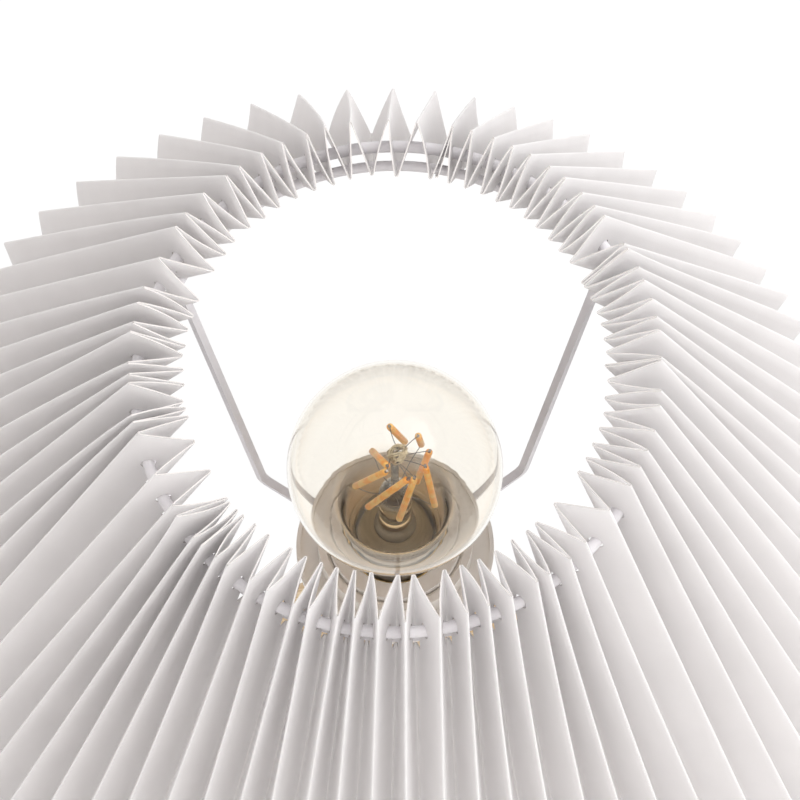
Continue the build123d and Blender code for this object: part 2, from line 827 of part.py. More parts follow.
def paper_faces():
    """Every face of the closed strip: both sides of each panel, the folds and the two cut edges."""
    high = fold_corners(ridge_top_radius, ridge_top_z, valley_top_radius, tips_z)
    low = fold_corners(ridge_bottom_radius, ridge_bottom_z, valley_bottom_radius, valley_bottom_z)
    faces = []
    for side in (0, 1):
        high_loop = [corner for fold in high for corner in fold[side]]
        low_loop = [corner for fold in low for corner in fold[side]]
        for step in range(len(high_loop)):
            after = (step + 1) % len(high_loop)
            faces += crease(high_loop[step], high_loop[after], low_loop[after], low_loop[step])
    for cut_edge in (high, low):
        for step, (outside, inside) in enumerate(cut_edge):
            next_outside, next_inside = cut_edge[(step + 1) % len(cut_edge)]
            faces.append(Face(Wire.make_polygon(outside + inside)))
            faces += crease(outside[-1], next_outside[0], next_inside[0], inside[-1])
    return faces


# the azimuth past a ridge at which a panel reaches the hoop
hoop_span_x = hoop_valley * cos(radians(half_pitch)) - hoop_ridge
hoop_span_y = hoop_valley * sin(radians(half_pitch))
panel_distance = hoop_ridge * hoop_span_y / hypot(hoop_span_x, hoop_span_y)
hoop_hole_azimuth = degrees(atan2(-hoop_span_x, hoop_span_y) - acos(panel_distance / hoop_radius))


def cut_length(ridge, valley, reach):
    """Length along a round wire that clears the two panels of an inner fold, this far out from the fold."""
    fold_run = ridge - valley * cos(radians(half_pitch))
    fold_half_angle = atan2(valley * sin(radians(half_pitch)), fold_run) + radians(half_pitch)
    return 2 * (reach * tan(fold_half_angle) + paper_thickness + twist_allowance)


hole_length = cut_length(hoop_ridge, hoop_valley, hoop_wire + paper_clearance)
notch_reach = frame_ring_bite + frame_ring_wire + paper_clearance
notch_length = cut_length(ring_ridge, ring_valley, notch_reach)

with BuildPart() as paper_shade:
    add(Solid(Shell(paper_faces())))
    with Locations((0, 0, hoop_z)):
        for azimuth in (hoop_hole_azimuth, -hoop_hole_azimuth):
            with PolarLocations(hoop_radius, pleat_count, start_angle=azimuth):
                Cylinder(hoop_wire + paper_clearance, hole_length, rotation=(90, 0, 0), mode=Mode.SUBTRACT)
    with Locations((0, 0, frame_ring_z)):
        with PolarLocations(frame_ring_radius, pleat_count, start_angle=half_pitch):
            Cylinder(frame_ring_wire + paper_clearance, notch_length, rotation=(90, 0, 0), mode=Mode.SUBTRACT)
keep(paper_shade, "paper_shade")

print(len(finished), "pieces; total height", round(ridge_top_z, 2), "widest", 2 * ridge_bottom_radius)
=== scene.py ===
"""Looks of the pleated paper table lamp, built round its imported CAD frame.

Metres, +Z up, the front is -Y. Azimuths are in degrees, anticlockwise from +X. Sizes that the CAD part has
as well are repeated here.
"""

import sys
import json
import logging
import random
from collections.abc import Mapping, Sequence
from dataclasses import dataclass
from enum import Enum
from math import atan2, cos, exp, hypot, pi, radians, sin, sqrt

import bpy
import numpy as np
from mathutils import Matrix, Vector

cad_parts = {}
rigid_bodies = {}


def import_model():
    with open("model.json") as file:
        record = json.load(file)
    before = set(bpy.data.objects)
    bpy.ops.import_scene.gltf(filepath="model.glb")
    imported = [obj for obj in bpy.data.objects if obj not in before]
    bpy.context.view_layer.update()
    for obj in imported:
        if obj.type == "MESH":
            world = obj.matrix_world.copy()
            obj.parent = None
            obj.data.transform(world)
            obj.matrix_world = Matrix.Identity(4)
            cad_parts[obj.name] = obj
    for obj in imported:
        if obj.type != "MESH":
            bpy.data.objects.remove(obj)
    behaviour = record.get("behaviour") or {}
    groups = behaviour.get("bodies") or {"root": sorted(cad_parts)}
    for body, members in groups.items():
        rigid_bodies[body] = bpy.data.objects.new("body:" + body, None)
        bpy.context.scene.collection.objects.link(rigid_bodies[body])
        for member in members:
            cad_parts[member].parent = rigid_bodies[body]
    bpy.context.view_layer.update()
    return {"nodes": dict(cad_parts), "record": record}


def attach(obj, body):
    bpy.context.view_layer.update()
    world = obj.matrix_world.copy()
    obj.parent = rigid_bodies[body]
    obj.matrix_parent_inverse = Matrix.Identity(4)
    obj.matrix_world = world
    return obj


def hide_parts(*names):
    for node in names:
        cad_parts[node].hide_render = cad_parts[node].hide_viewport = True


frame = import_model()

log = logging.getLogger("lamp")
WHITE = (1.0, 1.0, 1.0, 1.0)
Paint = Sequence[float]
Outline = list[tuple[float, float]]
Piece = bpy.types.Object
Socket = bpy.types.NodeSocket


def written(red: int, green: int, blue: int) -> tuple[float, float, float, float]:
    """Linear colour of a colour written as three numbers from 0 to 255.

    Args:
        red: Red, as a paint chart gives it.
        green: Green.
        blue: Blue.

    Returns:
        Red, green, blue and a full alpha, as Blender's sockets take them.
    """
    toe, slope, lift, power = 0.04045, 12.92, 0.055, 2.4
    linear = []
    for part in (red, green, blue):
        share = part / 255
        linear.append(share / slope if share <= toe else ((share + lift) / (1 + lift)) ** power)
    return linear[0], linear[1], linear[2], 1.0


def polar(radius: float, azimuth: float, height: float) -> Vector:
    """The point at a radius, azimuth and height about the Z axis."""
    turn = radians(azimuth)
    return Vector((radius * cos(turn), radius * sin(turn), height))


def shares(count: int) -> list[float]:
    """Even shares from 0 to 1, this many steps apart."""
    return [step / count for step in range(count + 1)]


# ================================================================ shader kit
@dataclass(frozen=True)
class Term:
    """One value in a node tree, which adds, multiplies and so on like a number."""

    recipe: "Recipe"
    socket: Socket

    def __add__(self, other: "Term | float") -> "Term":
        """Sum of this value and another."""
        return self.recipe.maths("ADD", self, other)

    def __radd__(self, other: float) -> "Term":
        """Sum of a number and this value."""
        return self.recipe.maths("ADD", other, self)

    def __sub__(self, other: "Term | float") -> "Term":
        """This value less another."""
        return self.recipe.maths("SUBTRACT", self, other)

    def __rsub__(self, other: float) -> "Term":
        """A number less this value."""
        return self.recipe.maths("SUBTRACT", other, self)

    def __mul__(self, other: "Term | float") -> "Term":
        """Product of this value and another."""
        return self.recipe.maths("MULTIPLY", self, other)

    def __rmul__(self, other: float) -> "Term":
        """Product of a number and this value."""
        return self.recipe.maths("MULTIPLY", other, self)


class Recipe:
    """A node tree that is being written."""

    def __init__(self, tree: bpy.types.NodeTree) -> None:
        """Empties the tree, so that only this recipe's nodes are in it.

        Args:
            tree: The material's or the world's node tree.
        """
        self.tree = tree
        tree.nodes.clear()

    def node(
        self, kind: str, sockets: Mapping | None = None, settings: Mapping | None = None
    ) -> bpy.types.Node:
        """Adds a node, sets it up and joins it to others.

        Args:
            kind: The node's type name, after "ShaderNode".
            sockets: Values or links for its sockets, by name or place.
            settings: Its own settings, which are set first.

        Returns:
            The new node.
        """
        made = self.tree.nodes.new("ShaderNode" + kind)
        for key, value in (settings or {}).items():
            setattr(made, key, value)
        for key, value in (sockets or {}).items():
            source = value.socket if isinstance(value, Term) else value
            if isinstance(source, Socket):
                self.tree.links.new(source, made.inputs[key])
            else:
                made.inputs[key].default_value = source
        return made

    def shader(self, kind: str, sockets: Mapping) -> Socket:
        """Adds a shader's node and gives the shader's socket."""
        return self.node(kind, sockets).outputs[0]

    def mixed(self, share: Term | float, first: Socket, second: Socket) -> Socket:
        """Mixes two shaders; the share is the second one's."""
        return self.shader("MixShader", {0: share, 1: first, 2: second})

    def maths(self, operation: str, *values: "Term | float") -> Term:
        """Adds a Math node.

        Args:
            operation: The node's operation.
            values: Its values, in order.

        Returns:
            The result, as a term.
        """
        made = self.node("Math", dict(enumerate(values)), {"operation": operation})
        return Term(self, made.outputs[0])

    def place(self) -> Socket:
        """Object coordinates, in metres."""
        return self.node("TexCoord").outputs["Object"]

    def stretched(self, scale: Sequence[float]) -> Socket:
        """Object coordinates with a pattern made this much finer along X, Y and Z."""
        return self.node("Mapping", {"Vector": self.place(), "Scale": scale}).outputs[0]

    def axis(self, where: Socket, number: int) -> Term:
        """One number of a place: 0 for X, 1 for Y, 2 for Z."""
        return Term(self, self.node("SeparateXYZ", {0: where}).outputs[number])

    def noise(self, where: Socket, size: float, detail: float = 2.0, warp: float = 0.0) -> Term:
        """Soft random patches.

        Args:
            where: The coordinates they lie in.
            size: How wide a patch is, in those coordinates.
            detail: How many finer layers there are.
            warp: How far the patches are pulled about.

        Returns:
            The pattern, from 0 to 1.
        """
        sockets = {"Vector": where, "Scale": 1 / size, "Detail": detail, "Distortion": warp}
        return Term(self, self.node("TexNoise", sockets).outputs[0])

    def ramp(
        self, value: Term, low: float = 0.3, high: float = 0.7, start: float = 0.0, end: float = 1.0
    ) -> Term:
        """Carries a value smoothly from one range to another, held at both ends.

        Args:
            value: What is carried.
            low: Where the range starts; without one it is where most of a noise pattern lies.
            high: Where it ends.
            start: The result at its start.
            end: The result at its end.

        Returns:
            The result.
        """
        settings = {"interpolation_type": "SMOOTHSTEP", "clamp": True}
        made = self.node("MapRange", {0: value, 1: low, 2: high, 3: start, 4: end}, settings)
        return Term(self, made.outputs[0])

    def blend(self, share: Term | float, first: object, second: object) -> Socket:
        """Mixes two colours.

        Args:
            share: How much of the second there is.
            first: A colour or its socket.
            second: Another.

        Returns:
            The mixed colour.
        """
        made = self.node("Mix", {0: share, 6: first, 7: second}, {"data_type": "RGBA"})
        return made.outputs[2]

    def bump(self, height: Term, depth: float, strength: float = 1.0) -> Socket:
        """Turns a height pattern into a surface normal.

        Args:
            height: The pattern.
            depth: How deep it is, in metres.
            strength: How much of it shows.

        Returns:
            The normal.
        """
        return self.node("Bump", {"Strength": strength, "Distance": depth, "Height": height}).outputs[0]

    def looked_at(self) -> Term:
        """Tells the rays by which the camera sees, also in metal or through glass, from all others.

        Returns:
            1 for those rays and 0 for the others.
        """
        ray = self.node("LightPath").outputs
        found = Term(self, ray["Is Camera Ray"])
        for kind in ("Is Glossy Ray", "Is Transmission Ray"):
            found = self.maths("MAXIMUM", found, Term(self, ray[kind]))
        return found


# ================================================================ finishes
@dataclass(frozen=True)
class Finish:
    """A named surface finish."""

    name: str

    def shader(self, recipe: Recipe) -> Socket:
        """Writes the finish's nodes and gives the shader's socket."""
        raise NotImplementedError

    def make(self) -> bpy.types.Material:
        """Makes the finish's material.

        Returns:
            The material, with the finish's nodes.
        """
        material = bpy.data.materials.new(self.name)
        material.use_nodes = True
        recipe = Recipe(material.node_tree)
        recipe.node("OutputMaterial", {"Surface": self.shader(recipe)})
        return material


@dataclass(frozen=True)
class Mottled(Finish):
    """Cast, moulded, plated or painted stuff: two near colours in soft patches, and a fine surface."""

    first: Paint
    second: Paint
    patch: float = 0.012
    grain: float = 0.0008
    depth: float = 0.00002
    smooth: float = 0.35
    rough: float = 0.5
    metal: float = 0.0
    coat: float = 0.0
    coat_roughness: float = 0.12
    patch_gloss: float = 0.7

    def shader(self, recipe: Recipe) -> Socket:
        """Writes the patches, the fine surface and its gloss.

        Args:
            recipe: The tree to write in.

        Returns:
            The shader's socket.
        """
        place = recipe.place()
        patches = recipe.noise(place, self.patch, detail=3.0, warp=0.4)
        grain = recipe.noise(place, self.grain)
        uneven = patches * self.patch_gloss + grain * (1 - self.patch_gloss)
        return recipe.shader("BsdfPrincipled", {
            "Base Color": recipe.blend(recipe.ramp(patches), self.first, self.second),
            "Roughness": recipe.ramp(uneven, start=self.smooth, end=self.rough),
            "Metallic": self.metal,
            "Coat Weight": self.coat,
            "Coat Roughness": self.coat_roughness,
            "Normal": recipe.bump(grain, self.depth),
        })


class Grain(Enum):
    """Which way a wooden piece's grain runs, as how much finer its figure is along X, Y and Z."""

    ACROSS = (1.0, 14.0, 14.0)
    UPRIGHT = (14.0, 14.0, 1.0)


@dataclass(frozen=True)
class OiledOak(Finish):
    """Pale oiled oak: soft growth bands, long pores and a low sheen."""

    grain: Grain = Grain.ACROSS
    pale: Paint = (0.62, 0.50, 0.34, 1)
    dark: Paint = (0.48, 0.35, 0.21, 1)
    pore: Paint = (0.30, 0.20, 0.11, 1)
    band: float = 0.055
    ring_turns: float = 46.0
    streak: float = 0.011
    pore_size: float = 0.0042
    pore_share: float = 0.65
    pore_range: tuple[float, float] = (0.63, 0.74)
    ring_share: float = 0.55
    figure_range: tuple[float, float] = (0.2, 0.85)
    figure_height: float = 0.3
    smooth: float = 0.42
    rough: float = 0.6
    depth: float = 0.00012

    def shader(self, recipe: Recipe) -> Socket:
        """Writes the bands, the streaks and the pores.

        Args:
            recipe: The tree to write in.

        Returns:
            The shader's socket.
        """
        along = recipe.stretched(self.grain.value)
        bands = recipe.noise(along, self.band, warp=0.9)
        rings = recipe.maths("SINE", bands * self.ring_turns) * 0.5 + 0.5
        streaks = recipe.noise(along, self.streak, detail=4.0)
        pores = recipe.ramp(recipe.noise(along, self.pore_size), *self.pore_range)
        figure = rings * self.ring_share + streaks * (1 - self.ring_share)
        figure = recipe.ramp(figure, *self.figure_range)
        colour = recipe.blend(figure, self.pale, self.dark)
        return recipe.shader("BsdfPrincipled", {
            "Base Color": recipe.blend(pores * self.pore_share, colour, self.pore),
            "Roughness": recipe.ramp(streaks, start=self.smooth, end=self.rough),
            "Normal": recipe.bump(figure * self.figure_height - pores, self.depth, strength=0.7),
        })


@dataclass(frozen=True)
class Felt(Finish):
    """Pressed wool felt, with loose fibres."""

    pale: Paint = (0.16, 0.16, 0.155, 1)
    dark: Paint = (0.06, 0.06, 0.06, 1)
    fibre: float = 0.0025
    fibre_range: tuple[float, float] = (0.45, 0.75)
    depth: float = 0.0003
    rough: float = 0.95
    sheen: float = 0.3

    def shader(self, recipe: Recipe) -> Socket:
        """Writes the fibres in two directions, and a soft sheen.

        Args:
            recipe: The tree to write in.

        Returns:
            The shader's socket.
        """
        ways = [
            recipe.noise(recipe.stretched(scale), self.fibre, detail=4.0, warp=1.5)
            for scale in ((1.0, 5.0, 2.0), (5.0, 1.0, 2.0))
        ]
        fibres = recipe.maths("MAXIMUM", *ways)
        return recipe.shader("BsdfPrincipled", {
            "Base Color": recipe.blend(recipe.ramp(fibres, *self.fibre_range), self.dark, self.pale),
            "Roughness": self.rough,
            "Sheen Weight": self.sheen,
            "Normal": recipe.bump(fibres, self.depth, strength=0.8),
        })


@dataclass(frozen=True)
class ShadePaper(Finish):
    """Stiff white shade paper: faint fibres and clouds, painted shade in the inner folds, a painted highlight
    on the outer folds, and a little light let through.
    """

    white: Paint = written(250, 249, 249)
    cloud: Paint = written(246, 245, 245)
    # painted shade: a darker paper colour laid along the inner folds, where shade falls in the creases
    crease_painted_shade: Paint = written(240, 237, 235)
    # painted highlight: a lighter paper colour laid along the outer folds, where they catch the light
    ridge_painted_highlight: Paint = written(253, 252, 252)
    let_through: Paint = (0.937, 0.928, 0.928, 1)
    panels: int = 144
    fold_share: float = 0.03
    fold_waver: float = 0.02
    waver_size: float = 0.004
    crease_shade_share: float = 0.5
    ridge_highlight_share: float = 0.7
    clouding: float = 0.018
    fibre: float = 0.0007
    fibre_low: float = 0.35
    fibre_share: float = 0.25
    fibre_height: float = 0.7
    fold_depth: float = 0.6
    depth: float = 0.00006
    smooth: float = 0.62
    rough: float = 0.8
    lets_through: float = 0.55

    def shader(self, recipe: Recipe) -> Socket:
        """Writes the clouding, the fibres, the painted shade in the inner folds and the painted highlight on
        the outer folds.

        Args:
            recipe: The tree to write in.

        Returns:
            The shader's socket.
        """
        place = recipe.place()
        sheet = recipe.node("UVMap", settings={"uv_map": "sheet"}).outputs[0]
        across = recipe.maths("PINGPONG", recipe.axis(sheet, 0) * float(self.panels), 1.0)
        across = across + (recipe.noise(place, self.waver_size) - 0.5) * self.fold_waver
        # painted shade along the inner folds; the same mask also dents the bump there
        folded = recipe.ramp(across, 0.0, self.fold_share, 1.0, 0.0)
        # painted highlight along the outer folds
        ridge_highlight_mask = recipe.ramp(across, 1.0 - self.fold_share, 1.0)
        clouds = recipe.ramp(recipe.noise(place, self.clouding, detail=3.0, warp=0.5))
        fibres = recipe.noise(place, self.fibre, detail=4.0, warp=1.0)
        colour = recipe.blend(clouds, self.white, self.cloud)
        colour = recipe.blend(recipe.ramp(fibres, self.fibre_low) * self.fibre_share, colour, self.cloud)
        colour = recipe.blend(folded * self.crease_shade_share, colour, self.crease_painted_shade)
        colour = recipe.blend(ridge_highlight_mask * self.ridge_highlight_share, colour, self.ridge_painted_highlight)
        relief = fibres * self.fibre_height - folded * self.fold_depth
        normal = recipe.bump(relief, self.depth, strength=0.6)
        face = recipe.shader("BsdfPrincipled", {
            "Base Color": colour,
            "Roughness": recipe.ramp(fibres, start=self.smooth, end=self.rough),
            "Normal": normal,
        })
        lit = recipe.shader("BsdfTranslucent", {"Color": self.let_through, "Normal": normal})
        return recipe.mixed(self.lets_through, face, lit)


@dataclass(frozen=True)
class BlownGlass(Finish):
    """Clear or tinted glass, deeper in colour low down, that lets lamps shine through it."""

    high: Paint
    low: Paint
    edge: Paint = (0.97, 0.90, 0.78, 1)
    cast: Paint = (0.97, 0.96, 0.93, 1)
    low_height: float = 0.256
    high_height: float = 0.283
    wisp: float = 0.014
    wisp_reach: float = 0.012
    edge_starts: float = 0.72
    index: float = 1.34

    def shader(self, recipe: Recipe) -> Socket:
        """Writes the tint and the way through for shadows.

        Args:
            recipe: The tree to write in.

        Returns:
            The shader's socket.
        """
        place = recipe.place()
        wisps = recipe.noise(place, self.wisp, warp=1.2)
        height = recipe.axis(place, 2) + (wisps - 0.5) * self.wisp_reach
        tint = recipe.blend(recipe.ramp(height, self.low_height, self.high_height), self.low, self.high)
        facing = Term(recipe, recipe.node("LayerWeight", {"Blend": 0.5}).outputs["Facing"])
        glass = recipe.shader("BsdfPrincipled", {
            "Base Color": recipe.blend(recipe.ramp(facing, self.edge_starts, 1.0), tint, self.edge),
            "Roughness": 0.0,
            "IOR": self.index,
            "Transmission Weight": 1.0,
        })
        clear = recipe.shader("BsdfTransparent", {"Color": self.cast})
        return recipe.mixed(recipe.node("LightPath").outputs["Is Shadow Ray"], glass, clear)


@dataclass(frozen=True)
class StudioWhite(Finish):
    """A pale floor that the camera, glass and metal see as nearly white, with the shadows left in."""

    pale: Paint = (0.8, 0.8, 0.8, 1)
    whitened: float = 0.9
    glow: float = 1.03

    def shader(self, recipe: Recipe) -> Socket:
        """Writes the matt floor and the white that is seen of it.

        Args:
            recipe: The tree to write in.

        Returns:
            The shader's socket.
        """
        matt = recipe.shader("BsdfDiffuse", {"Color": self.pale})
        white = recipe.shader("Emission", {"Color": WHITE, "Strength": self.glow})
        return recipe.mixed(recipe.looked_at() * self.whitened, matt, white)


@dataclass(frozen=True)
class Phosphor(Finish):
    """The orange coat of a light stick: soft, slightly uneven, paler where it is thin."""

    deep: Paint = (1.0, 0.42, 0.06, 1)
    thin: Paint = (1.0, 0.64, 0.22, 1)
    patch: float = 0.0035
    patch_range: tuple[float, float] = (0.35, 0.65)
    bead: float = 0.0009
    depth: float = 0.00015
    smooth: float = 0.3
    rough: float = 0.45
    specular: float = 0.25

    def shader(self, recipe: Recipe) -> Socket:
        """Writes the coat's unevenness and its soft gloss.

        Args:
            recipe: The tree to write in.

        Returns:
            The shader's socket.
        """
        place = recipe.place()
        uneven = recipe.noise(place, self.patch)
        beads = recipe.noise(place, self.bead, detail=1.0)
        return recipe.shader("BsdfPrincipled", {
            "Base Color": recipe.blend(recipe.ramp(uneven, *self.patch_range), self.deep, self.thin),
            "Roughness": recipe.ramp(uneven, start=self.smooth, end=self.rough),
            "Specular IOR Level": self.specular,
            "Normal": recipe.bump(beads, self.depth, strength=0.5),
        })


def node_finishes() -> dict[str, Finish]:
    """The finish of each of the record's material slots that CAD nodes keep.

    Returns:
        Finish by slot name.
    """
    return {
        "felt": Felt("pressed_felt"),
        "wood": OiledOak("oak_across"),
        "iron": Mottled(
            "cast_iron", (0.10, 0.10, 0.105, 1), (0.05, 0.05, 0.052, 1), patch=0.008, grain=0.0014,
            depth=0.0003, smooth=0.5, rough=0.75, metal=0.7,
        ),
        "steel": Mottled(
            "zinc_plate", (0.63, 0.63, 0.62, 1), (0.50, 0.51, 0.52, 1), patch=0.004, grain=0.0005,
            smooth=0.22, rough=0.42, metal=1.0,
        ),
        "white_plastic": Mottled(
            "moulded_plastic", written(233, 228, 221), written(227, 222, 214), patch=0.03, grain=0.0006,
            depth=0.000015, smooth=0.3, rough=0.42,
        ),
        "porcelain": Mottled(
            "glazed_porcelain", written(238, 235, 226), written(228, 224, 214), patch=0.006, grain=0.002,
            depth=0.00003, smooth=0.2, rough=0.35, coat=0.6,
        ),
        "brass": Mottled(
            "brass_strip", (0.78, 0.57, 0.26, 1), (0.60, 0.42, 0.19, 1), patch=0.004, grain=0.0006,
            depth=0.00001, smooth=0.18, rough=0.4, metal=1.0,
        ),
        "lead_brown": Mottled("brown_sleeve", written(104, 62, 38), written(90, 52, 32), patch=0.01),
        "lead_blue": Mottled("blue_sleeve", written(40, 92, 168), written(32, 78, 150), patch=0.01),
        "black_glass": Mottled(
            "black_insulator", (0.02, 0.02, 0.021, 1), (0.035, 0.034, 0.036, 1), patch=0.003, smooth=0.12,
            rough=0.25, coat=0.3,
        ),
        "board": Mottled("circuit_board", written(214, 208, 190), written(196, 190, 170), patch=0.003),
        "painted_frame": Mottled(
            "painted_steel", written(228, 226, 229), written(221, 219, 222), patch=0.02, grain=0.0007,
            depth=0.00004, smooth=0.42, rough=0.55,
        ),
    }


# ================================================================ bench
class Bench:
    """The modelling bench: Blender's tools, used as they are by hand."""

    @staticmethod
    def clear() -> None:
        """Leaves edit mode and deselects everything."""
        if bpy.context.mode != "OBJECT":
            bpy.ops.object.mode_set(mode="OBJECT")
        bpy.ops.object.select_all(action="DESELECT")

    @staticmethod
    def pick(*pieces: Piece) -> None:
        """Selects these pieces alone, and makes the first one active.

        Args:
            pieces: The pieces.
        """
        Bench.clear()
        for piece in pieces:
            piece.select_set(True)
        bpy.context.view_layer.objects.active = pieces[0]

    @staticmethod
    def open_all() -> None:
        """Puts the active piece in edit mode, with all of it selected."""
        bpy.ops.object.mode_set(mode="EDIT")
        bpy.ops.mesh.select_all(action="SELECT")

    @staticmethod
    def named(name: str) -> Piece:
        """Names the active object and its data.

        Args:
            name: The name of both.

        Returns:
            The object.
        """
        piece = bpy.context.active_object
        piece.name = piece.data.name = name
        return piece

    @staticmethod
    def settle(piece: Piece, smooth_angle: float = 40.0) -> None:
        """Closes seams, turns faces outwards, puts the place in the mesh and shades it smooth.

        Args:
            piece: The piece to settle.
            smooth_angle: Edges sharper than this many degrees stay sharp.
        """
        Bench.pick(piece)
        bpy.ops.object.transform_apply(location=True, rotation=True, scale=True)
        Bench.open_all()
        bpy.ops.mesh.remove_doubles(threshold=1e-6)
        bpy.ops.mesh.normals_make_consistent(inside=False)
        bpy.ops.object.mode_set(mode="OBJECT")
        bpy.ops.object.shade_smooth_by_angle(angle=radians(smooth_angle))

    @staticmethod
    def lathe(name: str, outline: Outline, steps: int) -> Piece:
        """Spins a half outline round the Z axis.

        Args:
            name: The piece's name.
            outline: Radius and height of each point, in order.
            steps: How many steps there are in the full turn.

        Returns:
            The piece, with its seam closed.
        """
        Bench.clear()
        bpy.ops.mesh.primitive_plane_add(size=0.001)
        piece = Bench.named(name)
        bpy.ops.object.mode_set(mode="EDIT")
        bpy.ops.mesh.select_mode(type="VERT")
        bpy.ops.mesh.select_all(action="SELECT")
        bpy.ops.mesh.merge(type="CENTER")
        bpy.ops.transform.translate(value=(outline[0][0], 0.0, outline[0][1]))
        for (radius, height), (next_radius, next_height) in zip(outline, outline[1:]):
            step = (next_radius - radius, 0.0, next_height - height)
            bpy.ops.mesh.extrude_region_move(TRANSFORM_OT_translate={"value": step})
        bpy.ops.mesh.select_all(action="SELECT")
        bpy.ops.mesh.spin(steps=steps, angle=2 * pi, center=(0, 0, 0), axis=(0, 0, 1))
        Bench.settle(piece)
        return piece

    @staticmethod
    def wire(points: Sequence[Vector], radius: float) -> Piece:
        """A round wire along a smooth line.

        Args:
            points: The line's control points.
            radius: The wire's radius.

        Returns:
            The wire, as a closed mesh.
        """
        Bench.clear()
        bpy.ops.curve.primitive_nurbs_path_add()
        curve = Bench.named("wire").data
        curve.splines.clear()
        spline = curve.splines.new("NURBS")
        spline.points.add(len(points) - 1)
        for control, point in zip(spline.points, points):
            control.co = (*point, 1.0)
        spline.order_u = 3
        spline.use_endpoint_u = True
        curve.resolution_u = 5
        curve.bevel_depth = radius
        curve.bevel_resolution = 1
        curve.use_fill_caps = True
        bpy.ops.object.convert(target="MESH")
        made = bpy.context.active_object
        Bench.settle(made)
        return made

    @staticmethod
    def joined(pieces: Sequence[Piece], name: str) -> Piece:
        """Joins pieces into one.

        Args:
            pieces: The pieces; the others join the first one.
            name: The joined piece's name.

        Returns:
            The joined piece.
        """
        Bench.pick(*pieces)
        bpy.ops.object.join()
        return Bench.named(name)

    @staticmethod
    def moved_copy(piece: Piece, name: str, place: Matrix) -> Piece:
        """Copies a piece with its own mesh, and puts the copy's place in that mesh.

        Args:
            piece: What is copied.
            name: The copy's name.
            place: Where the copy goes.

        Returns:
            The copy.
        """
        made = piece.copy()
        made.data = piece.data.copy()
        made.name = made.data.name = name
        made.data.transform(place)
        bpy.context.scene.collection.objects.link(made)
        return made


def dress(piece: Piece, *materials: bpy.types.Material) -> None:
    """Gives a piece its materials, in the order of its faces' material numbers.

    Args:
        piece: The piece.
        materials: Its materials.
    """
    piece.data.materials.clear()
    for material in materials:
        piece.data.materials.append(material)


def place_on(piece: Piece, body: str, slot: str, *nodes: str) -> None:
    """Sets what a new piece rides on and hides the CAD nodes that it stands for.

    Args:
        piece: The piece.
        body: The CAD body that it moves with.
        slot: The record's material slot; not used.
        nodes: The CAD nodes that it replaces.
    """
    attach(piece, body)
    if nodes:
        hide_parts(*nodes)
    log.info("%s: %d faces, on %s", piece.name, len(piece.data.polygons), body)


# ================================================================ paper shade
@dataclass
class Panel:
    """One flat strip between two folds; it rises if it starts at its inner fold."""

    number: int
    inner: int
    outer: int
    rises: bool
    bow_top: float
    bow_rim: float


